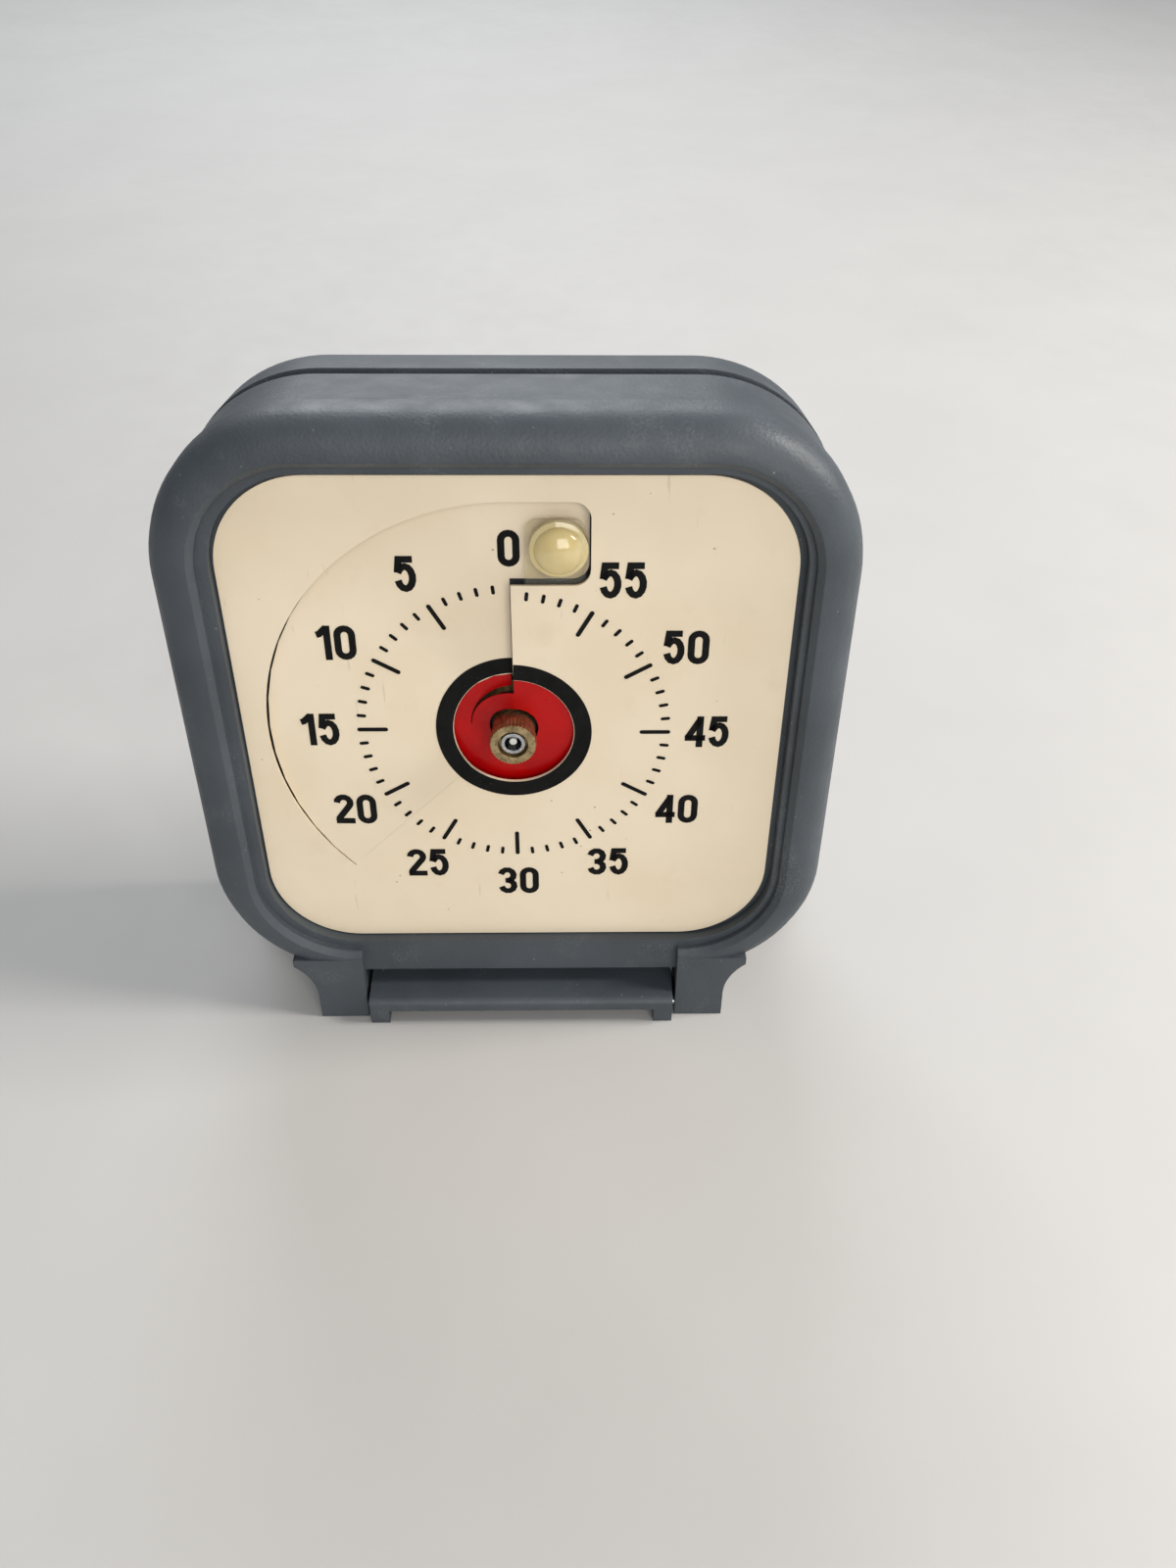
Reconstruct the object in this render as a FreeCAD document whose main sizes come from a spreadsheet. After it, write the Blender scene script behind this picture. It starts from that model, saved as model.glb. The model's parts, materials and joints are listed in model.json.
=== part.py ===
import FreeCAD, Part
import math
import os
import re

import Sketcher
from FreeCAD import Placement, Rotation, Vector

# A desk countdown timer: a red disc behind and over a slit dial shows the minutes left.
# Millimetres. Every piece of the case is drawn in the dial's own frame: x to the right,
# y up along the dial, z out of the dial towards the viewer, with the plate's front at z = 0.
# The case then leans back by its Placement, and stands on the table at z = 0.

document = FreeCAD.newDocument("CountdownTimer")

# Name, value and meaning of each size. Depths are distances behind the dial plate's front face.
SIZES = [
    ("lean", 7.0, "angle that the case leans back, degrees"),
    ("case_half_width", 44.4, "half width of the front ring"),
    ("case_top", 44.4, "dial centre to the top of the ring"),
    ("case_bottom", 43.9, "dial centre to the bottom of the ring"),
    ("case_corner", 20.5, "corner radius of the ring"),
    ("ring_front", 3.2, "front of the ring before the dial plate"),
    ("ring_depth", 4.0, "back of the ring's rounded part"),
    ("ring_rounding", 4.4, "rounding of the ring's outer front edge"),
    ("side_step", 0.4, "set-back of the flat side behind the ring"),
    ("shell_depth", 15.2, "back end of the front shell's side"),
    ("side_taper", 0.3, "set-back that the flat side gains towards the groove"),
    ("cover_taper", 0.4, "set-back that the rear cover gains towards its back"),
    ("groove_inset", 1.9, "set-back of the groove between shell and cover"),
    ("groove_width", 2.2, "width of that groove"),
    ("case_depth", 26.4, "back of the rear cover"),
    ("cover_rounding", 2.4, "rounding of the rear cover's back edge"),
    ("wall", 1.8, "wall of the case"),
    ("opening_half", 37.0, "half width of the dial opening"),
    ("opening_shift", 0.3, "sideways play of the dial plate in its opening"),
    ("opening_corner", 12.6, "corner radius of the dial opening"),
    ("step_width", 1.2, "width of the step inside the ring"),
    ("step_height", 1.5, "height of that step above the plate"),
    ("ring_inner_bevel", 0.8, "bevel of the ring's inner front edge"),
    ("ledge_width", 1.6, "ledge that carries the dial plate"),
    ("bulkhead_depth", 3.4, "front of the wall behind the disc"),
    ("bulkhead_wall", 1.6, "thickness of that wall"),
    ("boss_depth", 7.0, "back of the boss that the movement is mounted on"),
    ("boss_radius", 11.0, "radius of that boss"),
    ("dish_radius", 8.4, "radius of the dish for the nut"),
    ("dish_depth", 5.5, "floor of the dish"),
    ("ear_inner", 24.0, "inner side of each ear"),
    ("ear_outer", 31.4, "outer side of each ear"),
    ("ear_drop", 51.4, "dial centre to the foot of the ears"),
    ("ear_depth", 5.0, "back of the ears"),
    ("ear_flare", 7.5, "radius of the hollow flare above each ear"),
    ("flare_start", 46.8, "dial centre down to where that flare leaves the ear's straight side"),
    ("flare_rise", 6.1, "height of the flare where it meets the ring"),
    ("band_front", 1.5, "front of the recessed band between the ears"),
    ("foot_front", 2.6, "front of the foot's flat, where the ears stand"),
    ("hinge_drop", 49.6, "dial centre to the hinge axis"),
    ("hinge_front", 2.0, "hinge axis before the dial plate"),
    ("pin_radius", 0.6, "radius of the hinge pins"),
    ("pin_seat", 5.4, "length of each pin in its ear"),
    ("pin_reach", 2.2, "length of each pin in the lid's lug"),
    ("running_gap", 0.05, "radial clearance of turning pieces"),
    ("fit_gap", 0.02, "radial clearance of seated pieces"),
    ("screw_radius", 1.0, "radius of the case screws"),
    ("screw_head_radius", 2.2, "radius of their heads"),
    ("screw_head_height", 1.4, "height of their heads"),
    ("screw_length", 15.0, "length of their shanks"),
    ("post_radius", 3.0, "radius of the screw bosses"),
    ("plate_half", 36.4, "half width of the dial plate"),
    ("plate_low", 36.8, "dial centre to the plate's lower edge"),
    ("plate_high", 36.6, "dial centre to the plate's upper edge"),
    ("plate_corner", 12.4, "corner radius of the dial plate"),
    ("plate_thickness", 0.4, "thickness of the dial plate"),
    ("plate_hole", 8.2, "radius of the plate's central hole"),
    ("slit_radius", 33.2, "radius of the slit round the flap"),
    ("slit_width", 0.16, "width of the slit"),
    ("flap_angle", 134.4, "angle from the top to the flap's root, degrees"),
    ("flap_flat_angle", 36.0, "angle over which the flap stays at its full depth, degrees"),
    ("flap_depth", 1.85, "depth of the flap's free end below the plate"),
    ("notch_right", 10.3, "right side of the notch for the knob"),
    ("notch_low", 22.0, "lower side of the notch"),
    ("notch_corner", 2.2, "corner radius of the notch"),
    ("disc_radius", 21.6, "radius of the red disc"),
    ("disc_hole", 3.35, "radius of the hole round the hub"),
    ("disc_thickness", 0.16, "thickness of the disc"),
    ("disc_pitch", 2.05, "rise of the disc in one turn"),
    ("disc_depth", 0.63, "depth of the disc's leading edge at zero"),
    ("disc_slit_angle", 3.0, "angle left open between the disc's two edges, degrees"),
    ("disc_ring", 5.8, "outer radius of the ring left whole round the disc's hole"),
    ("disc_slot", 0.12, "width of the arc slot that frees the disc's last quarter from that ring"),
    ("disc_slot_start", 270.0, "angle from the leading edge to the slot's start, degrees"),
    ("knob_x", 6.1, "knob centre to the right of the dial axis"),
    ("knob_y", 27.3, "knob centre above the dial axis"),
    ("knob_radius", 3.7, "radius of the knob"),
    ("knob_height", 2.8, "height of the knob"),
    ("knob_side", 1.0, "height of the knob's straight side"),
    ("tab_left", 2.0, "left edge of the clear tab"),
    ("tab_right", 9.7, "right edge of the clear tab"),
    ("tab_top", 30.8, "upper edge of the clear tab"),
    ("hub_radius", 3.12, "radius of the knurled hub"),
    ("hub_neck_radius", 2.9, "radius of the hub's neck, inside the disc"),
    ("hub_front", 3.1, "front of the hub"),
    ("hub_head", 1.8, "height of the knurled head"),
    ("hub_cup_radius", 2.05, "radius of the cup in the hub's front"),
    ("hub_cup_depth", 1.3, "depth of that cup"),
    ("knurl_count", 40, "ridges on the hub"),
    ("tube_radius", 1.6, "outer radius of the minute tube"),
    ("tube_bore", 1.15, "bore of the minute tube"),
    ("tube_front", 2.8, "front end of the minute tube"),
    ("tube_back", 10.1, "back end of the minute tube"),
    ("arbor_radius", 0.5, "radius of the seconds arbor"),
    ("arbor_front", 2.3, "front end of the seconds arbor"),
    ("pivot_radius", 0.35, "radius of the other arbors"),
    ("pivot_seat", 0.6, "depth of the bearing holes"),
    ("bushing_radius", 4.0, "radius of the movement's threaded bushing"),
    ("bushing_front_depth", 3.9, "front end of the bushing"),
    ("nut_radius", 6.6, "corner radius of the hexagonal nut"),
    ("nut_height", 1.3, "height of the nut"),
    ("movement_high", 27.0, "dial axis to the movement's upper side"),
    ("movement_low", 29.0, "dial axis to the movement's lower side"),
    ("movement_wall", 1.2, "wall of the movement"),
    ("movement_split", 14.4, "depth of the joint between the movement's halves"),
    ("movement_depth", 21.0, "back of the movement"),
    ("bay_high", 12.4, "dial axis down to the battery bay"),
    ("battery_radius", 7.15, "radius of the battery"),
    ("battery_length", 49.2, "length of the battery without its button"),
    ("battery_y", 20.4, "dial axis down to the battery's axis"),
    ("battery_gap", 0.1, "gap round the battery"),
    ("button_radius", 2.7, "radius of the battery's button"),
    ("button_height", 1.3, "height of the battery's button"),
    ("contact_room", 3.4, "half width of the movement past the battery's half length"),
    ("contact_thickness", 0.4, "thickness of the contact strips"),
    ("contact_height", 9.0, "width and height of the contact strips"),
    ("door_high", 10.5, "dial axis down to the door's upper edge"),
    ("door_low", 31.5, "dial axis down to the door's lower edge"),
    ("door_thickness", 1.3, "thickness of the battery door"),
    ("door_ledge", 1.5, "ledge that the door sits on"),
    ("door_gap", 0.15, "gap round the door"),
    ("door_grip_count", 5, "ridges of the door's finger grip"),
    ("wheel_thickness", 0.7, "thickness of the gear wheels"),
    ("pinion_overlap", 0.2, "length of a pinion past the wheel that it meets"),
    ("centre_wheel_depth", 9.0, "front face of the centre wheel"),
    ("third_wheel_depth", 10.9, "front face of the third wheel"),
    ("seconds_wheel_depth", 12.9, "front face of the seconds wheel"),
    ("step_wheel_depth", 14.9, "front face of the intermediate wheel"),
    ("magnet_depth", 16.4, "front face of the rotor's magnet"),
    ("magnet_length", 2.4, "length of the rotor's magnet"),
    ("magnet_radius", 2.0, "radius of the rotor's magnet"),
    ("centre_teeth", 48, "teeth of the centre wheel"),
    ("third_pinion_teeth", 8, "leaves of the third pinion"),
    ("third_teeth", 60, "teeth of the third wheel"),
    ("seconds_pinion_teeth", 6, "leaves of the seconds pinion"),
    ("seconds_teeth", 50, "teeth of the seconds wheel"),
    ("step_pinion_teeth", 10, "leaves of the intermediate pinion"),
    ("step_teeth", 48, "teeth of the intermediate wheel"),
    ("rotor_pinion_teeth", 8, "leaves of the rotor pinion"),
    ("centre_module", 0.30, "module of the centre wheel"),
    ("seconds_module", 0.27, "module of the seconds wheel"),
    ("step_module", 0.22, "module of the intermediate wheel"),
    ("third_direction", 160.0, "direction of the third arbor, degrees"),
    ("step_direction", 30.0, "direction of the intermediate arbor, degrees"),
    ("rotor_direction", 60.0, "direction of the rotor from that arbor, degrees"),
    ("stator_depth", 17.2, "front face of the stator"),
    ("stator_thickness", 0.8, "thickness of the stator"),
    ("stator_hole", 2.4, "radius of the stator's hole round the rotor"),
    ("stator_half", 6.0, "half width of the stator"),
    ("stator_top", 22.0, "upper side of the stator"),
    ("core_width", 2.5, "width of the coil's core"),
    ("core_left", 14.5, "dial axis to the left end of the core"),
    ("coil_radius", 1.75, "outer radius of the coil"),
    ("coil_left", 13.5, "dial axis to the left end of the coil"),
    ("coil_right", 2.5, "dial axis to the right end of the coil"),
    ("board_room", 0.8, "movement's side wall to the circuit board"),
    ("board_width", 10.0, "width of the circuit board"),
    ("board_low", 3.0, "lower edge of the circuit board"),
    ("board_height", 13.0, "height of the circuit board"),
    ("board_thickness", 0.8, "thickness of the circuit board"),
    ("crystal_radius", 1.0, "radius of the quartz crystal"),
    ("crystal_length", 6.0, "length of the quartz crystal"),
    ("lid_half", 46.0, "half width of the lid"),
    ("lid_near", 9.6, "hinge axis to the lid panel's near edge"),
    ("lid_far", 95.6, "hinge axis to the lid's far edge"),
    ("lid_corner", 22.0, "corner radius of the lid"),
    ("lid_height", 4.6, "table to the lid panel's outer face"),
    ("lid_wall", 1.0, "thickness of the lid panel"),
    ("lid_rim", 1.2, "thickness of the lid's rim"),
    ("rim_start", 30.0, "hinge axis to where the lid's rim begins"),
    ("crown_near", 33.0, "hinge axis to the raised panel's near edge"),
    ("crown_far", 89.5, "hinge axis to the raised panel's far edge"),
    ("crown_half", 39.0, "half width of the raised panel"),
    ("crown_corner", 15.0, "corner radius of the raised panel"),
    ("crown_rise", 1.3, "height of the raised panel"),
    ("tongue_half", 23.5, "half width of the hinge tongue"),
    ("tongue_front", 2.7, "front of the tongue before the hinge axis"),
    ("tongue_low", 2.9, "table to the tongue's lower face"),
    ("tongue_high", 5.0, "table to the tongue's upper face"),
    ("lug_width", 2.9, "width of the tongue's end lugs"),
    ("lug_back", 2.2, "hinge axis to the back of the lugs"),
    ("tongue_rounding", 1.1, "rounding of the tongue's front edge"),
]

# Sizes that follow from the ones above.
DERIVED = [
    ("dial_height", "ear_drop * cos(lean * 1deg) - foot_front * sin(lean * 1deg)", "table to dial centre"),
    ("hinge_height", "dial_height - hinge_drop * cos(lean * 1deg) + hinge_front * sin(lean * 1deg)",
     "table to hinge axis"),
    ("hinge_back", "0 - hinge_drop * sin(lean * 1deg) - hinge_front * cos(lean * 1deg)",
     "hinge axis behind the dial centre"),
    ("middle_back", "hinge_back + (lid_far - tongue_front) / 2", "middle of the stance behind the dial centre"),
    ("cover_start", "shell_depth + groove_width", "depth where the rear cover begins"),
    ("bulkhead_back", "bulkhead_depth + bulkhead_wall", "depth of the bulkhead's back"),
    ("inner_half", "case_half_width - groove_inset - wall", "half width of the case's inside"),
    ("inner_top", "case_top - groove_inset - wall", "top of the case's inside"),
    ("inner_bottom", "case_bottom - groove_inset - wall", "bottom of the case's inside"),
    ("inner_corner", "case_corner - groove_inset - wall", "corner radius of the case's inside"),
    ("cover_inside", "case_depth - wall", "depth of the rear cover's inner face"),
    ("movement_half", "battery_length / 2 + contact_room", "half width of the movement"),
    ("door_half", "movement_half + door_ledge", "half width of the battery door"),
    ("board_left", "movement_half - movement_wall - board_room", "dial axis to the board's left edge"),
    ("screw_offset", "movement_half + post_radius", "screw centres from the dial axis, both ways"),
    ("room_front", "boss_depth + movement_wall", "depth of the movement's front wall inside"),
    ("room_back", "movement_depth - movement_wall", "depth of the movement's back wall inside"),
]

sheet = document.addObject("Spreadsheet::Sheet", "Sizes")
for row, (alias, amount, meaning) in enumerate(SIZES, start=1):
    sheet.set(f"A{row}", meaning)
    sheet.set(f"B{row}", str(amount))
    sheet.setAlias(f"B{row}", alias)
for row, (alias, formula, meaning) in enumerate(DERIVED, start=len(SIZES) + 1):
    sheet.set(f"A{row}", meaning)
    sheet.set(f"B{row}", "=" + formula)
    sheet.setAlias(f"B{row}", alias)
document.recompute()

ALIASES = {entry[0] for entry in SIZES + DERIVED}
XY, XZ, YZ = "XY_Plane", "XZ_Plane", "YZ_Plane"


def linked(text):
    """The expression with each size's name pointing at the sheet."""
    return re.sub(r"[a-z_]+", lambda word: "Sizes." + word.group() if word.group() in ALIASES else word.group(),
                  str(text))


def number(text):
    """What an expression of sizes comes to."""
    outcome = sheet.evalExpression(linked(text))
    return float(getattr(outcome, "Value", outcome))


def bind(thing, **expressions):
    for path, text in expressions.items():
        thing.setExpression(path.replace("__", "."), linked(text))


def lean_back(piece):
    """Stand a piece that was drawn in the dial's frame on the table, leaning back."""
    piece.Placement = Placement(Vector(0, -number("middle_back"), number("dial_height")),
                                Rotation(Vector(1, 0, 0), 90 - number("lean")))
    bind(piece, Placement__Base__y="0 - middle_back", Placement__Base__z="dial_height",
         Placement__Rotation__Angle="90 - lean")


def lay_at_hinge(piece):
    """Put a piece that was drawn from the hinge axis, on the table."""
    piece.Placement = Placement(Vector(0, number("hinge_back - middle_back"), 0), Rotation())
    bind(piece, Placement__Base__y="hinge_back - middle_back")


# Part design helpers

def new_body(name):
    made = document.addObject("PartDesign::Body", name)
    made.Label = name
    return made


def new_sketch(body, name, plane=XY, offset="0"):
    drawing = body.newObject("Sketcher::SketchObject", name)
    support = next(feature for feature in body.Origin.OriginFeatures if feature.Role == plane)
    drawing.AttachmentSupport = [(support, "")]
    drawing.MapMode = "FlatFace"
    bind(drawing, AttachmentOffset__Base__z=offset)
    return drawing


def hold(drawing, axis, geometry, point, text):
    """Hold a point of a sketch at a signed distance from the sketch's origin."""
    value = number(text)
    if value >= 0:
        index = drawing.addConstraint(Sketcher.Constraint("Distance" + axis, -1, 1, geometry, point, value))
        drawing.setExpression(f"Constraints[{index}]", linked(text))
    else:
        index = drawing.addConstraint(Sketcher.Constraint("Distance" + axis, geometry, point, -1, 1, -value))
        drawing.setExpression(f"Constraints[{index}]", linked(f"0 - ({text})"))


def draw_rounded(drawing, left, right, low, high, corner):
    """A rectangle with four equal round corners."""
    x0, x1, y0, y1, bend = (number(text) for text in (left, right, low, high, corner))
    first = drawing.GeometryCount
    ends = [
        ((x1, y0 + bend), (x1, y1 - bend)), ((x1 - bend, y1), (x0 + bend, y1)),
        ((x0, y1 - bend), (x0, y0 + bend)), ((x0 + bend, y0), (x1 - bend, y0)),
    ]
    middles = [(x1 - bend, y1 - bend), (x0 + bend, y1 - bend), (x0 + bend, y0 + bend), (x1 - bend, y0 + bend)]
    for start, end in ends:
        drawing.addGeometry(Part.LineSegment(Vector(*start, 0), Vector(*end, 0)), False)
    for quarter, middle in enumerate(middles):
        circle = Part.Circle(Vector(*middle, 0), Vector(0, 0, 1), bend)
        drawing.addGeometry(Part.ArcOfCircle(circle, quarter * math.pi / 2, (quarter + 1) * math.pi / 2), False)
    for side in range(4):
        drawing.addConstraint(Sketcher.Constraint("Tangent", first + side, 2, first + 4 + side, 1))
        drawing.addConstraint(Sketcher.Constraint("Tangent", first + 4 + side, 2, first + (side + 1) % 4, 1))
        drawing.addConstraint(Sketcher.Constraint("Horizontal" if side % 2 else "Vertical", first + side))
    for other in range(1, 4):
        drawing.addConstraint(Sketcher.Constraint("Equal", first + 4, first + 4 + other))
    index = drawing.addConstraint(Sketcher.Constraint("Radius", first + 4, bend))
    drawing.setExpression(f"Constraints[{index}]", linked(corner))
    hold(drawing, "X", first, 1, right)
    hold(drawing, "Y", first + 1, 1, high)
    hold(drawing, "X", first + 2, 1, left)
    hold(drawing, "Y", first + 3, 1, low)


def draw_rectangle(drawing, left, right, low, high):
    """A rectangle with square corners."""
    x0, x1, y0, y1 = (number(text) for text in (left, right, low, high))
    first = drawing.GeometryCount
    corners = [Vector(x0, y0, 0), Vector(x1, y0, 0), Vector(x1, y1, 0), Vector(x0, y1, 0)]
    for side in range(4):
        drawing.addGeometry(Part.LineSegment(corners[side], corners[(side + 1) % 4]), False)
    for side in range(4):
        drawing.addConstraint(Sketcher.Constraint("Coincident", first + side, 2, first + (side + 1) % 4, 1))
        drawing.addConstraint(Sketcher.Constraint("Vertical" if side % 2 else "Horizontal", first + side))
    hold(drawing, "X", first, 1, left)
    hold(drawing, "Y", first, 1, low)
    hold(drawing, "X", first + 2, 1, right)
    hold(drawing, "Y", first + 2, 1, high)


def draw_circle(drawing, x, y, radius):
    first = drawing.GeometryCount
    middle = Vector(number(x), number(y), 0)
    drawing.addGeometry(Part.Circle(middle, Vector(0, 0, 1), number(radius)), False)
    index = drawing.addConstraint(Sketcher.Constraint("Radius", first, number(radius)))
    drawing.setExpression(f"Constraints[{index}]", linked(radius))
    hold(drawing, "X", first, 3, x)
    hold(drawing, "Y", first, 3, y)


def draw_polygon(drawing, corners):
    """A closed outline of straight sides, each corner held to the sketch's origin."""
    spots = [Vector(number(x), number(y), 0) for x, y in corners]
    first = drawing.GeometryCount
    for start, end in zip(spots, spots[1:] + spots[:1]):
        drawing.addGeometry(Part.LineSegment(start, end), False)
    for index, (x, y) in enumerate(corners):
        following = first + (index + 1) % len(corners)
        drawing.addConstraint(Sketcher.Constraint("Coincident", first + index, 2, following, 1))
        hold(drawing, "X", first + index, 1, x)
        hold(drawing, "Y", first + index, 1, y)


def pad(body, drawing, length, backward=False):
    feature = body.newObject("PartDesign::Pad", drawing.Name + "_pad")
    feature.Profile = drawing
    feature.Reversed = backward
    bind(feature, Length=length)
    return feature


def draw_case_outline(drawing, inset):
    """The ring's rounded outline, set in by some amount all round."""
    draw_rounded(drawing, f"{inset} - case_half_width", f"case_half_width - {inset}", f"{inset} - case_bottom",
                 f"case_top - {inset}", f"case_corner - {inset}")


def tapered_side(body, name, front, back, front_inset, back_inset):
    """A flat moulded side that narrows a little from its front to its back."""
    near = new_sketch(body, name + "_front", offset=front)
    draw_case_outline(near, front_inset)
    far = new_sketch(body, name + "_back", offset=back)
    draw_case_outline(far, back_inset)
    feature = body.newObject("PartDesign::AdditiveLoft", name)
    feature.Profile = near
    feature.Sections = [far]
    feature.Ruled = True
    return feature


def rolled_side(body, name, start, way, inset, radius, bands):
    """The rounded edge between a side and a flat face, as a few narrow bands along an arc."""
    for band in range(bands):
        levels, insets = [], []
        for turn in (90 * band / bands, 90 * (band + 1) / bands):
            levels.append(f"({start}) + {way} * {radius} * sin({turn}deg)")
            insets.append(f"({inset} + {radius} * (1 - cos({turn}deg)))")
        tapered_side(body, f"{name}_{band}", *levels, *insets)


def pocket(body, drawing, length, forward=False):
    """Cut backwards from the sketch, or forwards to the viewer."""
    feature = body.newObject("PartDesign::Pocket", drawing.Name + "_cut")
    feature.Profile = drawing
    feature.Reversed = forward
    bind(feature, Length=length)
    return feature


def ease_edges(body, name, base, width, chosen, kind="Chamfer"):
    """Bevel or round those edges of the body so far whose box passes a test."""
    document.recompute()
    edges = [f"Edge{index}" for index, edge in enumerate(base.Shape.Edges, start=1) if chosen(edge.BoundBox)]
    feature = body.newObject("PartDesign::" + kind, name)
    feature.Base = (base, edges)
    bind(feature, **{"Size" if kind == "Chamfer" else "Radius": width})
    return feature


def flat_at(height, reach):
    """A test for edges that lie flat at one height and within so far of the middle."""
    level, far = number(height), number(reach)
    return lambda box: (abs(box.ZMin - level) < 0.01 and abs(box.ZMax - level) < 0.01
                        and max(-box.XMin, box.XMax, -box.YMin, box.YMax) < far)


# Part primitive helpers: boxes and cylinders whose ends are expressions

def block(name, left, right, low, high, back, front):
    made = document.addObject("Part::Box", name)
    bind(made, Length=f"({right}) - ({left})", Width=f"({high}) - ({low})", Height=f"({front}) - ({back})",
         Placement__Base__x=left, Placement__Base__y=low, Placement__Base__z=back)
    return made


def rod(name, x, y, radius, back, front):
    """A cylinder along the dial's axis."""
    made = document.addObject("Part::Cylinder", name)
    bind(made, Radius=radius, Height=f"({front}) - ({back})",
         Placement__Base__x=x, Placement__Base__y=y, Placement__Base__z=back)
    return made


def cross_rod(name, left, right, y, z, radius):
    """A cylinder along the x axis."""
    made = document.addObject("Part::Cylinder", name)
    made.Placement = Placement(Vector(), Rotation(Vector(0, 1, 0), 90))
    bind(made, Radius=radius, Height=f"({right}) - ({left})",
         Placement__Base__x=left, Placement__Base__y=y, Placement__Base__z=z)
    return made


def joined(name, pieces):
    made = document.addObject("Part::MultiFuse", name)
    made.Shapes = pieces
    return made


def carved(name, base, tools):
    made = document.addObject("Part::Cut", name)
    made.Base = base
    made.Tool = tools[0] if len(tools) == 1 else joined(name + "_tools", tools)
    return made


def finished(node, piece, place=lean_back):
    piece.Label = node
    place(piece)
    nodes.append(piece)
    return piece


def feature_of(node, shape, place=lean_back):
    """A piece whose shape comes from a formula, read from the sheet."""
    made = document.addObject("Part::Feature", node)
    made.Shape = shape
    return finished(node, made, place)


nodes = []


# Case

def side_line(side, near, far):
    """A line on the right of the middle, or its mirror image on the left."""
    return Part.LineSegment(Vector(side * near[0], near[1], 0), Vector(side * far[0], far[1], 0))


def ear_outline(drawing, side):
    """One ear: straight down the inside, and a hollow flare up to the ring outside."""
    inner, outer, foot = number("ear_inner"), number("ear_outer"), -number("ear_drop")
    flare, start = number("ear_flare"), -number("flare_start")
    root = number("ring_rounding - case_bottom")
    turn = math.asin(number("flare_rise") / flare)
    reach = outer + flare * (1 - math.cos(turn))
    end = start + number("flare_rise")
    first = drawing.GeometryCount
    spots = [(inner, root), (inner, foot), (outer, foot), (outer, start)]
    for near, far in zip(spots, spots[1:]):
        drawing.addGeometry(side_line(side, near, far), False)
    circle = Part.Circle(Vector(side * (outer + flare), start, 0), Vector(0, 0, 1), flare)
    angles = (math.pi - turn, math.pi) if side > 0 else (0, turn)
    drawing.addGeometry(Part.ArcOfCircle(circle, *angles), False)
    for near, far in (((reach, end), (reach, root)), ((reach, root), (inner, root))):
        drawing.addGeometry(side_line(side, near, far), False)
    arc, rise, top = first + 3, first + 4, first + 5
    arc_low, arc_high = (2, 1) if side > 0 else (1, 2)
    for geometry, point, other, touch in ((first, 2, first + 1, 1), (first + 1, 2, first + 2, 1),
                                          (arc, arc_high, rise, 1), (rise, 2, top, 1), (top, 2, first, 1)):
        drawing.addConstraint(Sketcher.Constraint("Coincident", geometry, point, other, touch))
    drawing.addConstraint(Sketcher.Constraint("Tangent", first + 2, 2, arc, arc_low))
    for upright in (first, first + 2, rise):
        drawing.addConstraint(Sketcher.Constraint("Vertical", upright))
    for level in (first + 1, top):
        drawing.addConstraint(Sketcher.Constraint("Horizontal", level))
    index = drawing.addConstraint(Sketcher.Constraint("Radius", arc, flare))
    drawing.setExpression(f"Constraints[{index}]", linked("ear_flare"))
    sign = "" if side > 0 else "0 - "
    hold(drawing, "X", first, 1, f"{sign}ear_inner")
    hold(drawing, "Y", first, 1, "ring_rounding - case_bottom")
    hold(drawing, "Y", first, 2, "0 - ear_drop")
    hold(drawing, "X", first + 1, 2, f"{sign}ear_outer")
    hold(drawing, "Y", first + 2, 2, "0 - flare_start")
    hold(drawing, "Y", rise, 1, "flare_rise - flare_start")


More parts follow.
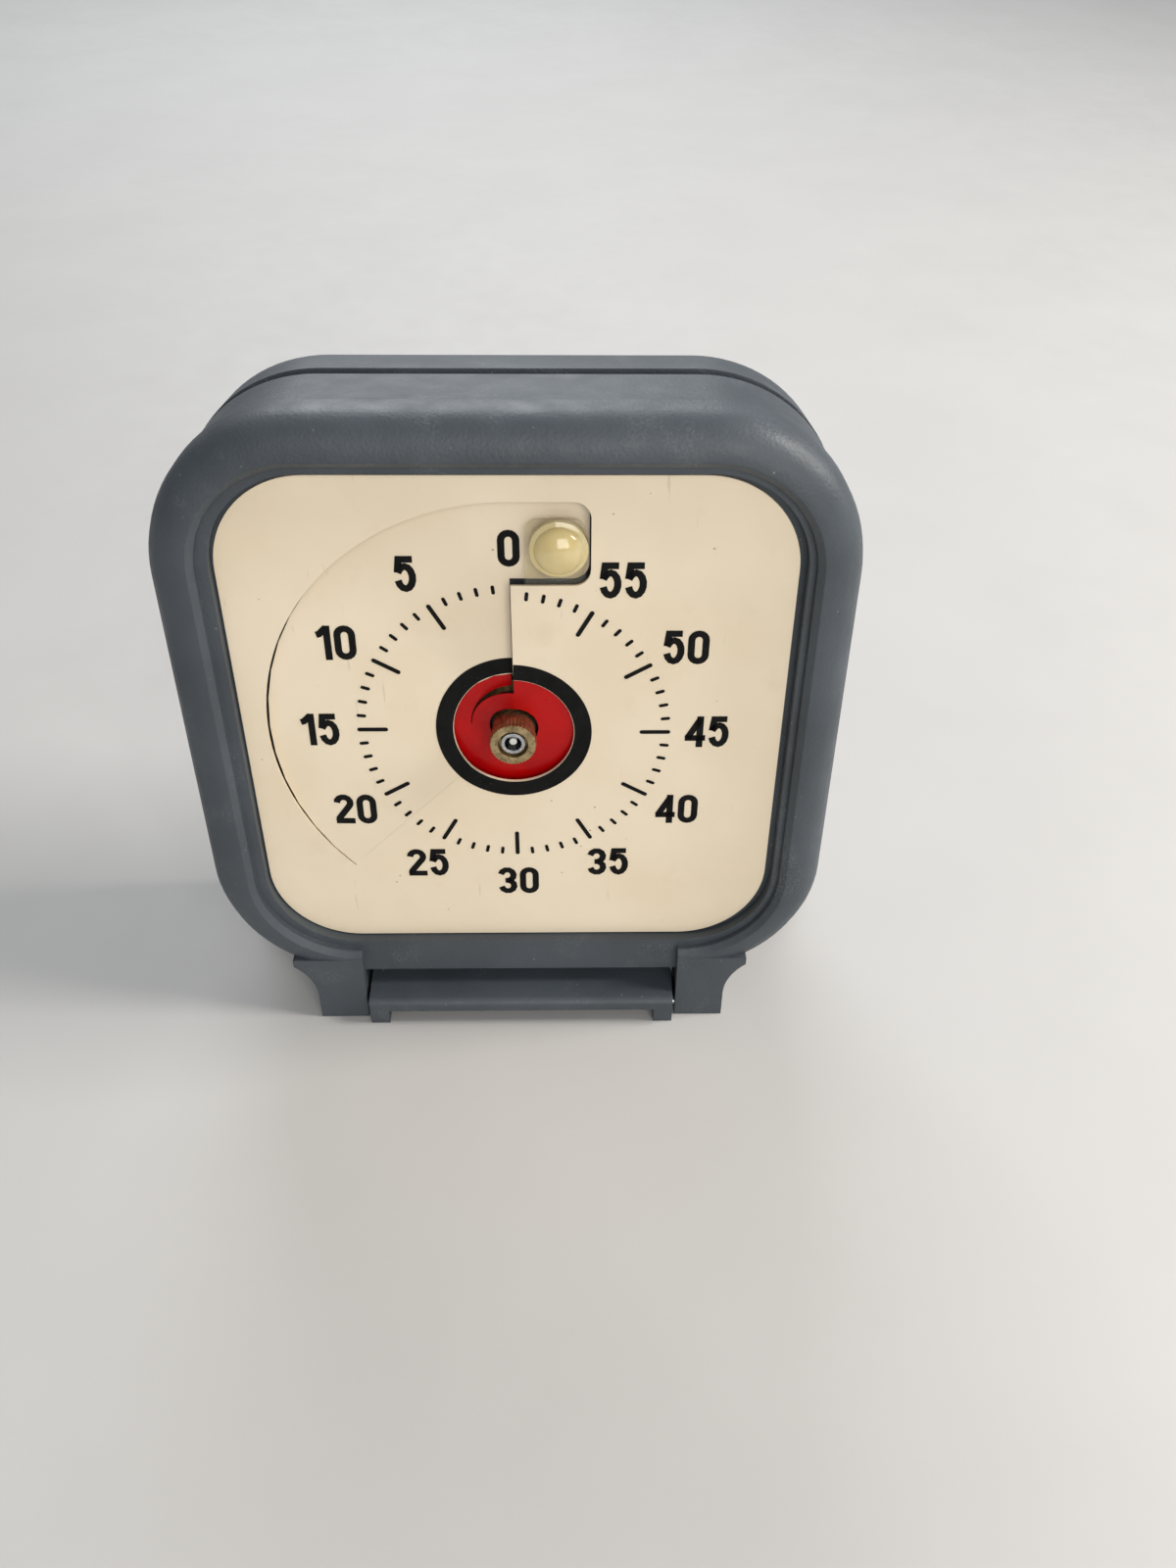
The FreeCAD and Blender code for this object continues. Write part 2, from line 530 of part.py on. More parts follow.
def front_shell():
    """Rounded ring, flat sides, groove, ledge for the dial, bulkhead, ears and bosses."""
    body = new_body("front_shell")
    ring = new_sketch(body, "ring", offset="0 - ring_depth")
    draw_case_outline(ring, "0")
    pad(body, ring, "ring_depth + ring_front - ring_rounding")
    rolled_side(body, "ring_roll", "ring_front - ring_rounding", 1, "0", "ring_rounding", 4)
    tapered_side(body, "side", "0 - ring_depth", "0 - shell_depth", "side_step", "(side_step + side_taper)")
    lip = new_sketch(body, "lip", offset="0 - shell_depth")
    draw_case_outline(lip, "groove_inset")
    pad(body, lip, "groove_width", backward=True)
    opening = new_sketch(body, "opening", offset="ring_front")
    draw_rounded(opening, "opening_shift - opening_half", "opening_shift + opening_half", "0 - opening_half",
                 "opening_half + opening_shift", "opening_corner")
    pocket(body, opening, "ring_front + plate_thickness")
    step = new_sketch(body, "step", offset="ring_front")
    wide = "opening_half + step_width"
    draw_rounded(step, f"0 - ({wide})", wide, f"0 - ({wide})", f"{wide} + opening_shift",
                 "opening_corner + step_width")
    stepped = pocket(body, step, "ring_front - step_height")
    ease_edges(body, "ring_inner_bevel", stepped, "ring_inner_bevel",
               flat_at("ring_front", f"{wide} + opening_shift + fit_gap"))
    space = new_sketch(body, "disc_space", offset="0 - plate_thickness")
    near = "opening_half - ledge_width"
    draw_rounded(space, f"0 - ({near})", near, f"0 - ({near})", near, "opening_corner - ledge_width")
    pocket(body, space, "bulkhead_depth - plate_thickness")
    cavity = new_sketch(body, "cavity", offset="0 - cover_start")
    draw_rounded(cavity, "0 - inner_half", "inner_half", "0 - inner_bottom", "inner_top", "inner_corner")
    pocket(body, cavity, "cover_start - bulkhead_back", forward=True)
    boss = new_sketch(body, "boss", offset="0 - bulkhead_depth")
    draw_circle(boss, "0", "0", "boss_radius")
    pad(body, boss, "boss_depth - bulkhead_depth", backward=True)
    dish = new_sketch(body, "dish", offset="0 - bulkhead_depth")
    draw_circle(dish, "0", "0", "dish_radius")
    pocket(body, dish, "dish_depth - bulkhead_depth")
    hole = new_sketch(body, "bushing_hole", offset="0 - bulkhead_depth")
    draw_circle(hole, "0", "0", "bushing_radius + running_gap")
    pocket(body, hole, "boss_depth")
    posts = new_sketch(body, "posts", offset="0 - bulkhead_back + bulkhead_wall / 2")
    for across in ("", "0 - "):
        for upward in ("", "0 - "):
            draw_circle(posts, across + "screw_offset", upward + "screw_offset", "post_radius")
    pad(body, posts, "cover_start - bulkhead_back + bulkhead_wall / 2", backward=True)
    pilots = new_sketch(body, "pilots", offset="0 - cover_start")
    for across in ("", "0 - "):
        for upward in ("", "0 - "):
            draw_circle(pilots, across + "screw_offset", upward + "screw_offset", "screw_radius + fit_gap")
    pocket(body, pilots, "cover_start - bulkhead_back", forward=True)
    ears = new_sketch(body, "ears", offset="0 - ear_depth")
    for side_sign in (1, -1):
        ear_outline(ears, side_sign)
    pad(body, ears, "ear_depth + ring_front")
    soles = new_sketch(body, "soles", plane=YZ)
    deep, past = "(ear_depth + foot_front)", "(ring_front - foot_front)"
    draw_polygon(soles, [
        (f"0 - ear_drop - {past} * tan(lean * 1deg)", "ring_front"),
        (f"{deep} * tan(lean * 1deg) - ear_drop", "0 - ear_depth"),
        ("0 - ear_drop - ear_depth", "0 - ear_depth"),
        ("0 - ear_drop - ear_depth", "ring_front"),
    ])
    level = body.newObject("PartDesign::Pocket", "soles_cut")
    level.Profile = soles
    level.Midplane = True
    bind(level, Length="2 * case_half_width")
    band = new_sketch(body, "band", offset="ring_front + wall")
    draw_rectangle(band, "0 - ear_inner", "ear_inner", "0 - ear_drop", "2 * fit_gap - opening_half")
    pocket(body, band, "ring_front + wall - band_front")
    bores = new_sketch(body, "pin_bores", plane=YZ)
    draw_circle(bores, "0 - hinge_drop", "hinge_front", "pin_radius + fit_gap")
    cut = body.newObject("PartDesign::Pocket", "pin_bores_cut")
    cut.Profile = bores
    cut.Midplane = True
    bind(cut, Length="2 * (ear_inner + pin_seat)")
    return finished("front_shell", body)


def rear_cover():
    """The back half of the case, with screw posts and the battery opening."""
    body = new_body("rear_cover")
    tapered_side(body, "cover_side", "0 - cover_start", "cover_rounding - case_depth",
                 "(side_step + side_taper)", "(side_step + side_taper + cover_taper)")
    rolled_side(body, "cover_roll", "cover_rounding - case_depth", -1, "side_step + side_taper + cover_taper",
                "cover_rounding", 3)
    cavity = new_sketch(body, "cover_cavity", offset="0 - cover_start")
    draw_rounded(cavity, "0 - inner_half", "inner_half", "0 - inner_bottom", "inner_top", "inner_corner")
    pocket(body, cavity, "cover_inside - cover_start")
    posts = new_sketch(body, "cover_posts", offset="0 - cover_start")
    for across in ("", "0 - "):
        for upward in ("", "0 - "):
            draw_circle(posts, across + "screw_offset", upward + "screw_offset", "post_radius")
    pad(body, posts, "case_depth - cover_start - wall / 2", backward=True)
    holes = new_sketch(body, "cover_holes", offset="0 - cover_start")
    for across in ("", "0 - "):
        for upward in ("", "0 - "):
            draw_circle(holes, across + "screw_offset", upward + "screw_offset", "screw_radius + running_gap")
    pocket(body, holes, "case_depth")
    heads = new_sketch(body, "head_seats", offset="0 - case_depth")
    for across in ("", "0 - "):
        for upward in ("", "0 - "):
            draw_circle(heads, across + "screw_offset", upward + "screw_offset",
                        "screw_head_radius + running_gap")
    pocket(body, heads, "2 * screw_head_height", forward=True)
    way = new_sketch(body, "battery_way", offset="0 - cover_start")
    draw_rectangle(way, "door_ledge - door_half", "door_half - door_ledge", "door_ledge - door_low",
                   "0 - door_high - door_ledge")
    pocket(body, way, "case_depth")
    seat = new_sketch(body, "door_seat", offset="0 - case_depth")
    draw_rounded(seat, "0 - door_half", "door_half", "0 - door_low", "0 - door_high", "door_ledge")
    pocket(body, seat, "door_thickness", forward=True)
    return finished("rear_cover", body)


def battery_door():
    """A snap-in door with a ridged finger grip."""
    body = new_body("battery_door")
    plate = new_sketch(body, "door_plate", offset="door_gap / 3 - case_depth")
    draw_rounded(plate, "door_gap - door_half", "door_half - door_gap", "door_gap - door_low",
                 "0 - door_high - door_gap", "door_ledge - door_gap")
    pad(body, plate, "door_thickness - door_gap")
    lip = new_sketch(body, "door_lip", offset="door_thickness / 2 - case_depth")
    edge = "(door_ledge + 2 * door_gap)"
    draw_rectangle(lip, f"{edge} - door_half", f"door_half - {edge}", f"0 - door_high - {edge} - door_ledge",
                   f"0 - door_high - {edge}")
    pad(body, lip, "door_thickness / 2 + door_gap * 2")
    grip = new_sketch(body, "door_grip", offset="door_gap / 3 - case_depth")
    for ridge in range(int(number("door_grip_count"))):
        level = f"0 - door_high - door_ledge * {1.5 + ridge}"
        draw_rectangle(grip, "0 - door_half / 4", "door_half / 4", f"{level} - door_ledge / 2", level)
    pocket(body, grip, "door_thickness / 3", forward=True)
    return finished("battery_door", body)


def case_screws():
    """Four pan-head screws that hold the rear cover."""
    screws = []
    seat = "0 - case_depth + 2 * screw_head_height - fit_gap"
    for index, (across, upward) in enumerate(((1, 1), (-1, 1), (-1, -1), (1, -1))):
        x, y = f"{across} * screw_offset", f"{upward} * screw_offset"
        head = rod(f"screw_head_{index}", x, y, "screw_head_radius", f"{seat} - screw_head_height", seat)
        shank = rod(f"screw_shank_{index}", x, y, "screw_radius", f"{seat} - screw_head_height / 2",
                    f"{seat} + screw_length")
        slot = block(f"screw_slot_{index}", f"{x} - 2 * screw_radius", f"{x} + 2 * screw_radius",
                     f"{y} - 0.3 * screw_radius", f"{y} + 0.3 * screw_radius",
                     f"{seat} - 2 * screw_head_height", f"{seat} - screw_head_height / 2")
        screws.append(carved(f"screw_{index}", joined(f"screw_blank_{index}", [head, shank]), [slot]))
    group = document.addObject("Part::Compound", "case_screws")
    group.Links = screws
    return finished("case_screws", group)


def hinge_pins():
    """A steel pin through each ear into the lid's lug."""
    pins = []
    for name, side in (("pin_right", 1), ("pin_left", -1)):
        start = "ear_inner - pin_reach" if side > 0 else "0 - ear_inner - pin_seat + fit_gap"
        end = "ear_inner + pin_seat - fit_gap" if side > 0 else "pin_reach - ear_inner"
        pins.append(cross_rod(name, start, end, "0 - hinge_drop", "hinge_front", "pin_radius"))
    group = document.addObject("Part::Compound", "hinge_pins")
    group.Links = pins
    return finished("hinge_pins", group)


# Dial plate

def prism(points_or_wire, low, high):
    """A flat outline raised between two levels."""
    if isinstance(points_or_wire, Part.Wire):
        wire = points_or_wire
    else:
        wire = Part.makePolygon([Vector(x, y, 0) for x, y in points_or_wire + points_or_wire[:1]])
    face = Part.Face(wire)
    face.translate(Vector(0, 0, low))
    return face.extrude(Vector(0, 0, high - low))


def rounded_wire(left, right, low, high, bend):
    """A rectangle with round corners, as lines and arcs."""
    edges = []
    middles = [(right - bend, high - bend), (left + bend, high - bend), (left + bend, low + bend),
               (right - bend, low + bend)]
    for quarter, (x, y) in enumerate(middles):
        start = quarter * 90
        arc = Part.makeCircle(bend, Vector(x, y, 0), Vector(0, 0, 1), start, start + 90)
        if edges:
            edges.append(Part.makeLine(edges[-1].Vertexes[-1].Point, arc.Vertexes[0].Point))
        edges.append(arc)
    edges.append(Part.makeLine(edges[-1].Vertexes[-1].Point, edges[0].Vertexes[0].Point))
    return Part.Wire(edges)


def skin(loops, closed_ends=True):
    """Flat faces between neighbouring outlines that have the same number of corners."""
    faces = []
    for near, far in zip(loops, loops[1:]):
        for index in range(len(near)):
            following = (index + 1) % len(near)
            faces.append(flat_face([near[index], near[following], far[following]]))
            faces.append(flat_face([near[index], far[following], far[index]]))
    return faces + ([flat_face(loops[0]), flat_face(loops[-1])] if closed_ends else [])


def flat_face(corners):
    """A flat face between corners."""
    return Part.Face(Part.makePolygon(list(corners) + [corners[0]]))


def solid_of(faces):
    shell = Part.makeShell(faces)
    shell.sewShape()
    solid = Part.makeSolid(shell)
    if solid.Volume < 0:
        solid.reverse()
    return solid


def section_corners(angle, radii, middle_height, thickness):
    """A thin upright outline along a radius, at an angle to the left of the top."""
    turn = math.radians(angle)
    way = Vector(-math.sin(turn), math.cos(turn), 0)
    upper = [way * radius + Vector(0, 0, middle_height + thickness / 2) for radius in radii]
    lower = [way * radius + Vector(0, 0, middle_height - thickness / 2) for radius in radii]
    return upper + lower[::-1]


def flap_level(angle):
    """How deep the flap's middle lies, from full depth at its free end up to the plate."""
    sheet_middle = -number("plate_thickness") / 2
    level, root = number("flap_flat_angle"), number("flap_angle")
    share = 1 if angle <= level else (root - angle) / (root - level)
    return sheet_middle - number("flap_depth") * share


def dial_plate():
    """A thin sheet with a flap that is freed by a slit round its left side and bent inwards."""
    thickness, hole = number("plate_thickness"), number("plate_hole")
    slit, gap = number("slit_radius"), number("slit_width")
    root, flat = number("flap_angle"), number("flap_flat_angle")
    right, low, bend = number("notch_right"), number("notch_low"), number("notch_corner")
    sheet_wire = rounded_wire(-number("plate_half"), number("plate_half"), -number("plate_low"),
                              number("plate_high"), number("plate_corner"))
    plate = prism(sheet_wire, -thickness, 0)
    start, end = 90, 90 + root
    turn = math.radians(root)
    middle = Vector(0, 0, 0)
    outer_arc = Part.makeCircle(slit, middle, Vector(0, 0, 1), start, end)
    inner_arc = Part.makeCircle(hole, middle, Vector(0, 0, 1), start, end)
    root_line = Part.makeLine(outer_arc.Vertexes[-1].Point, inner_arc.Vertexes[-1].Point)
    free_line = Part.makeLine(inner_arc.Vertexes[0].Point, outer_arc.Vertexes[0].Point)
    window = Part.Face(Part.Wire([outer_arc, root_line, inner_arc, free_line]))
    window.translate(Vector(0, 0, -thickness))
    window = window.extrude(Vector(0, 0, thickness))
    notch = prism(rounded_wire(-bend, right, low, slit, bend), -thickness, 0)
    strip = prism([(0, 0), (gap, 0), (gap, low + bend), (0, low + bend)], -thickness, 0)
    notch_left = prism([(-bend, low), (bend, low), (bend, slit), (-bend, slit)], -thickness, 0)
    left_part = prism([(-slit, 0), (0, 0), (0, slit), (-slit, slit)], -thickness, 0)
    notch = notch.fuse([notch_left]).cut(left_part)
    centre = Part.makeCylinder(hole, thickness, Vector(0, 0, -thickness))
    plate = plate.cut([window, notch, strip, centre])
    step = 7.5
    angles = [0.0, flat / 2, flat]
    count = max(2, round((root - flat) / step))
    angles += [flat + (root - flat) * index / count for index in range(1, count + 1)]
    reach = [hole, slit - gap]
    flap = solid_of(skin([section_corners(angle, reach, flap_level(angle), thickness) for angle in angles]))
    depth = flap_level(0) - thickness / 2
    tab = prism(rounded_wire(-bend, right - gap, low + gap, slit - gap, bend), depth, depth + thickness)
    tab_left = prism([(-gap, low + gap), (bend, low + gap), (bend, slit - gap), (-gap, slit - gap)],
                     depth, depth + thickness)
    tab = tab.fuse(tab_left).cut(prism([(-slit, 0), (-gap, 0), (-gap, slit), (-slit, slit)],
                                       depth, depth + thickness))
    back = Vector(-math.sin(turn), math.cos(turn), 0)
    across = Vector(math.cos(turn), math.sin(turn), 0)
    bridge_points = [back * hole - across * gap, back * (slit - gap) - across * gap,
                     back * (slit - gap) + across * gap, back * hole + across * gap]
    bridge = prism([(point.x, point.y) for point in bridge_points], -thickness, 0)
    whole = plate.fuse([flap, tab, bridge])
    return feature_of("dial_plate", whole)


# Disc, tab and knob

def red_disc():
    """One turn of a thin helicoid: one edge passes over the dial and the other under it.

    A slot along an arc frees the last quarter's outer part, so that the inner ring can climb back and close.
    """
    thickness, rise, lead = number("disc_thickness"), number("disc_pitch"), number("disc_depth")
    radii = [number("disc_hole"), number("disc_ring"), number("disc_ring + disc_slot"), number("disc_radius")]
    slot, last, step = number("disc_slot_start"), 360 - number("disc_slit_angle"), 10
    lead_angle = number("disc_slit_angle") / 2
    joined_angles = range(0, int(slot) + 1, step)

    def section(along, stations, level):
        return section_corners(-lead_angle - along, stations, level, thickness)

    whole = [section(angle, radii, -lead - rise * angle / 360) for angle in joined_angles]
    outer_angles = list(range(int(slot), int(last), step)) + [last]
    outer = [section(angle, radii[2:], -lead - rise * angle / 360) for angle in outer_angles]
    inner = []
    for angle in range(int(slot), 361, step):
        level = -lead - rise * slot / 360 * (360 - angle) / (360 - slot)
        inner.append(section(angle, radii[:2], level))
    inner[-1] = section(0, radii[:2], -lead)
    first, split = whole[0], whole[-1]
    faces = skin(whole, False) + skin(outer, False) + skin(inner, False)
    faces += [flat_face(first[1:7]), flat_face([split[1], split[2], split[5], split[6]]), flat_face(outer[-1])]
    return feature_of("red_disc", solid_of(faces))


def clear_tab():
    """The unprinted end of the disc, which reaches out through the notch to the knob."""
    body = new_body("clear_tab")
    outline = new_sketch(body, "tab_outline", offset="0 - disc_depth - disc_thickness / 2")
    draw_rounded(outline, "tab_left", "tab_right", "disc_radius - knob_radius", "tab_top", "knob_radius / 2")
    pad(body, outline, "disc_thickness")
    room = new_sketch(body, "disc_room", offset="0 - disc_depth + disc_thickness")
    draw_circle(room, "0", "0", "disc_radius + fit_gap")
    pocket(body, room, "2 * disc_thickness")
    return finished("clear_tab", body)


def grip_knob():
    """A clear domed bumper: a short straight side under a crown of narrow bands."""
    base = "(disc_thickness / 2 - disc_depth)"
    pieces = [rod("knob_side", "knob_x", "knob_y", "knob_radius", base, f"{base} + knob_side")]
    bands = 3
    for band in range(bands):
        cone = document.addObject("Part::Cone", f"knob_crown_{band}")
        low, high = (90 * step / bands for step in (band, band + 1))
        narrow = "knob_radius - (knob_height - knob_side) * (1 - cos({}deg))"
        level = base + " + knob_side + (knob_height - knob_side) * sin({}deg)"
        bind(cone, Radius1=narrow.format(low), Radius2=narrow.format(high),
             Height=f"({level.format(high)}) - ({level.format(low)})", Placement__Base__x="knob_x",
             Placement__Base__y="knob_y", Placement__Base__z=level.format(low))
        pieces.append(cone)
    return finished("grip_knob", joined("grip_knob", pieces))


# Gear wheels

def toothed_outline(teeth, module, first_angle, slim=0.28):
    """The outline of a wheel: narrow pointed teeth with clearance at tip and root."""
    pitch_radius = teeth * module / 2
    tip, root = pitch_radius + 0.75 * module, pitch_radius - 1.15 * module
    pitch = 2 * math.pi / teeth
    points = []
    for tooth in range(int(teeth)):
        middle = math.radians(first_angle) + tooth * pitch
        for radius, share in ((root, -slim), (tip, 0), (root, slim)):
            angle = middle + share * pitch
            points.append((radius * math.cos(angle), radius * math.sin(angle)))
    return points


def toothed_prism(teeth, module, first_angle, back, front):
    return prism(toothed_outline(teeth, module, first_angle), back, front)


def meshing_angle(driver_teeth, driver_angle, direction, follower_teeth):
    """Where a follower's first tooth stands so that its gap meets the driver's tooth."""
    driver_pitch, follower_pitch = 360 / driver_teeth, 360 / follower_teeth
    ahead = ((driver_angle - direction) / driver_pitch) % 1
    return direction + 180 - ahead * follower_pitch + follower_pitch / 2


def round_bar(radius, back, front):
    return Part.makeCylinder(radius, front - back, Vector(0, 0, back))


def spoked(outline, radius, back, front):
    """A wheel's blank with three windows between the spokes of its web."""
    near, far = 0.34 * radius, 0.8 * radius
    for index in range(3):
        spots = [polar(reach, 120 * index + angle) for reach, angle in
                 ((near, -22), (far, -42), (far, 0), (far, 42), (near, 22))]
        outline = outline.cut(prism([(spot.x, spot.y) for spot in spots], back, front))
    return outline


def polar(distance, direction):
    turn = math.radians(direction)
    return Vector(distance * math.cos(turn), distance * math.sin(turn), 0)


def arbor_places():
    """Where the third, intermediate and rotor arbors stand round the centre."""
    third_distance = number("centre_module * (centre_teeth + third_pinion_teeth) / 2")
    step_distance = number("seconds_module * (seconds_teeth + step_pinion_teeth) / 2")
    rotor_distance = number("step_module * (step_teeth + rotor_pinion_teeth) / 2")
    third = polar(third_distance, number("third_direction"))
    middle = polar(step_distance, number("step_direction"))
    rotor = middle + polar(rotor_distance, number("rotor_direction"))
    return third, middle, rotor


def centre_wheel():
    front = -number("centre_wheel_depth")
    back = front - number("wheel_thickness")
    teeth, module = number("centre_teeth"), number("centre_module")
    wheel = spoked(toothed_prism(teeth, module, 0, back, front), teeth * module / 2, back, front)
    wheel = wheel.cut(round_bar(number("tube_radius + fit_gap"), back, front))
    return feature_of("centre_wheel", wheel)


def third_wheel(place, direction):
    """Third wheel and its pinion, driven by the centre wheel and driving the seconds pinion."""
    over, thick = number("pinion_overlap"), number("wheel_thickness")
    pinion_teeth, teeth = number("third_pinion_teeth"), number("third_teeth")
    module = 2 * place.Length / (teeth + number("seconds_pinion_teeth"))
    pinion_front = over - number("centre_wheel_depth")
    wheel_front = -number("third_wheel_depth")
    first = meshing_angle(number("centre_teeth"), 0, direction, pinion_teeth)
    wheel = spoked(toothed_prism(teeth, module, 0, wheel_front - thick, wheel_front), teeth * module / 2,
                   wheel_front - thick, wheel_front)
    pinion = toothed_prism(pinion_teeth, number("centre_module"), first, wheel_front, pinion_front)
    arbor = round_bar(number("pivot_radius"), -number("room_back + pivot_seat - running_gap"),
                      -number("room_front - pivot_seat + running_gap"))
    for piece in (wheel, pinion, arbor):
        piece.translate(place)
    whole = wheel.fuse([pinion, arbor])
    return feature_of("third_wheel", whole)


def seconds_wheel(third_direction, third_distance):
    """Seconds arbor through the minute tube, with its wheel and pinion."""
    over, thick = number("pinion_overlap"), number("wheel_thickness")
    module = 2 * third_distance / (number("third_teeth") + number("seconds_pinion_teeth"))
    third_front = -number("third_wheel_depth")
    wheel_front = -number("seconds_wheel_depth")
    first = meshing_angle(number("third_teeth"), 0, third_direction + 180, number("seconds_pinion_teeth"))
    pinion = toothed_prism(number("seconds_pinion_teeth"), module, first, wheel_front, third_front + over)
    teeth = number("seconds_teeth")
    radius = teeth * number("seconds_module") / 2
    wheel = spoked(toothed_prism(teeth, number("seconds_module"), 0, wheel_front - thick, wheel_front),
                   radius, wheel_front - thick, wheel_front)
    arbor = round_bar(number("arbor_radius"), -number("room_back + pivot_seat - running_gap"),
                      number("arbor_front"))
    return feature_of("seconds_wheel", wheel.fuse([pinion, arbor]))


def step_wheel(place, direction):
    """Intermediate wheel and pinion between the seconds wheel and the rotor."""
    over, thick = number("pinion_overlap"), number("wheel_thickness")
    pinion_teeth, teeth = number("step_pinion_teeth"), number("step_teeth")
    first = meshing_angle(number("seconds_teeth"), 0, direction, pinion_teeth)
    wheel_front = -number("step_wheel_depth")
    radius = teeth * number("step_module") / 2
    wheel = spoked(toothed_prism(teeth, number("step_module"), 0, wheel_front - thick, wheel_front),
                   radius, wheel_front - thick, wheel_front)
    pinion = toothed_prism(pinion_teeth, number("seconds_module"), first, wheel_front,
                           over - number("seconds_wheel_depth"))
    arbor = round_bar(number("pivot_radius"), -number("room_back + pivot_seat - running_gap"),
                      -number("room_front - pivot_seat + running_gap"))
    for piece in (wheel, pinion, arbor):
        piece.translate(place)
    whole = wheel.fuse([pinion, arbor])
    return feature_of("intermediate_wheel", whole)


def rotor(place, direction):
    """Stepping rotor: a round magnet and a pinion on one arbor."""
    teeth = number("rotor_pinion_teeth")
    first = meshing_angle(number("step_teeth"), 0, direction, teeth)
    pinion_front = number("pinion_overlap - step_wheel_depth")
    magnet_front = -number("magnet_depth")
    pinion = toothed_prism(teeth, number("step_module"), first, magnet_front, pinion_front)
    magnet = round_bar(number("magnet_radius"), magnet_front - number("magnet_length"), magnet_front)
    arbor = round_bar(number("pivot_radius"), -number("room_back + pivot_seat - running_gap"),
                      -number("room_front - pivot_seat + running_gap"))
    for piece in (magnet, pinion, arbor):
        piece.translate(place)
    whole = magnet.fuse([pinion, arbor])
    return feature_of("rotor", whole)


# Hub

def knurled_hub():
    """Brass hub: a knurled head with a cup in its front, on a plain neck."""
    front, radius = number("hub_front"), number("hub_radius")
    back = front - number("hub_head")
    count = int(number("knurl_count"))
    points = []
    for ridge in range(count * 2):
        reach = radius if ridge % 2 else radius * 0.955
        angle = math.pi * ridge / count
        points.append((reach * math.cos(angle), reach * math.sin(angle)))
    head = prism(points, back, front)
    neck_back = -number("bulkhead_depth") + number("fit_gap") * 5
    neck = round_bar(number("hub_neck_radius"), neck_back, back)
    bore = round_bar(number("tube_radius + fit_gap"), neck_back, front)
    cup = round_bar(number("hub_cup_radius"), front - number("hub_cup_depth"), front)
    return feature_of("knurled_hub", head.fuse(neck).cut([bore, cup]))


def minute_tube():
    """Steel tube that turns in the bushing and carries hub and centre wheel."""
    outer = rod("tube_outer", "0", "0", "tube_radius", "0 - tube_back", "tube_front")
    bore = rod("tube_inner", "0", "0", "tube_bore", "0 - tube_back", "tube_front")
    return finished("minute_tube", carved("minute_tube", outer, [bore]))


def mounting_nut():
    """Hexagonal brass nut on the bushing, in the dish behind the disc."""
    blank = document.addObject("Part::Prism", "nut_blank")
    blank.Polygon = 6
    bind(blank, Circumradius="nut_radius", Height="nut_height",
         Placement__Base__z="0 - dish_depth + fit_gap")
    bore = rod("nut_bore", "0", "0", "bushing_radius + fit_gap", "0 - boss_depth", "0")
    return finished("mounting_nut", carved("mounting_nut", blank, [bore]))


# Movement

def bearing_holes(prefix, places, back, front):
    holes = []
    for name, place in places:
        holes.append(rod(f"{prefix}_{name}", f"{place.x:.4f}", f"{place.y:.4f}", "pivot_radius + running_gap",
                         back, front))
    return holes


def movement_housing(places):
    """Front half of the movement: gear room, battery bay and threaded bushing."""
    outer = block("housing_outer", "0 - movement_half", "movement_half", "0 - movement_low", "movement_high",
                  "0 - movement_split", "0 - boss_depth")
    bay_walls = block("bay_walls", "0 - movement_half", "movement_half", "0 - movement_low",
                      "0 - bay_high + movement_wall", "0 - movement_depth", "0 - boss_depth")
    bushing = rod("bushing", "0", "0", "bushing_radius", "0 - room_front", "0 - bushing_front_depth")
    room = block("housing_room", "movement_wall - movement_half", "movement_half - movement_wall",
                 "movement_wall - bay_high", "movement_high - movement_wall", "0 - movement_split",
                 "0 - room_front")
    bay = block("battery_bay", "movement_wall - movement_half", "movement_half - movement_wall",
                "movement_wall - movement_low", "0 - bay_high", "0 - movement_depth", "0 - room_front")
    bore = rod("bushing_bore", "0", "0", "tube_radius + running_gap", "0 - movement_split", "0")
    holes = bearing_holes("front_bearing", places, "0 - room_front", "0 - room_front + pivot_seat")
    solid = joined("housing_solid", [outer, bay_walls, bushing])
    return finished("movement_housing", carved("movement_housing", solid, [room, bay, bore] + holes))


def movement_cover(places):
    """Back half of the movement, over the gear room, with posts for the stator and the board."""
    outer = block("cover_outer", "0 - movement_half", "movement_half", "movement_wall - bay_high + fit_gap",
                  "movement_high", "0 - movement_depth", "0 - movement_split")
    room = block("cover_room", "movement_wall - movement_half", "movement_half - movement_wall",
                 "2 * movement_wall - bay_high", "movement_high - movement_wall", "0 - room_back",
                 "0 - movement_split")
    hollow = carved("cover_hollow", outer, [room])
    rotor_place = places[-1][1]
    right = f"{rotor_place.x:.4f}"
    stator_back = "0 - stator_depth - stator_thickness"
    board_back = "0 - stator_depth - board_thickness"
    supports = [
        rod("stator_post_low", f"{right} + stator_half * 2 / 3", f"{rotor_place.y:.4f} - stator_half * 2 / 3",
            "core_width / 2", "0 - room_back - fit_gap", stator_back),
        rod("stator_post_high", f"{right} + stator_half / 2", "stator_top - core_width / 2", "core_width / 2",
            "0 - room_back - fit_gap", stator_back),
        rod("board_post_low", "board_width / 2 - board_left", "board_low + core_width", "core_width / 2",
            "0 - room_back - fit_gap", board_back),
        rod("board_post_high", "board_width / 2 - board_left", "board_low + board_height - core_width",
            "core_width / 2", "0 - room_back - fit_gap", board_back),
    ]
    whole = joined("cover_whole", [hollow] + supports)
    holes = bearing_holes("back_bearing", places, "0 - room_back - pivot_seat", "0 - room_back")
    centre = rod("seconds_bearing", "0", "0", "arbor_radius + running_gap", "0 - room_back - pivot_seat",
                 "0 - room_back")
    return finished("movement_cover", carved("movement_cover", whole, holes + [centre]))


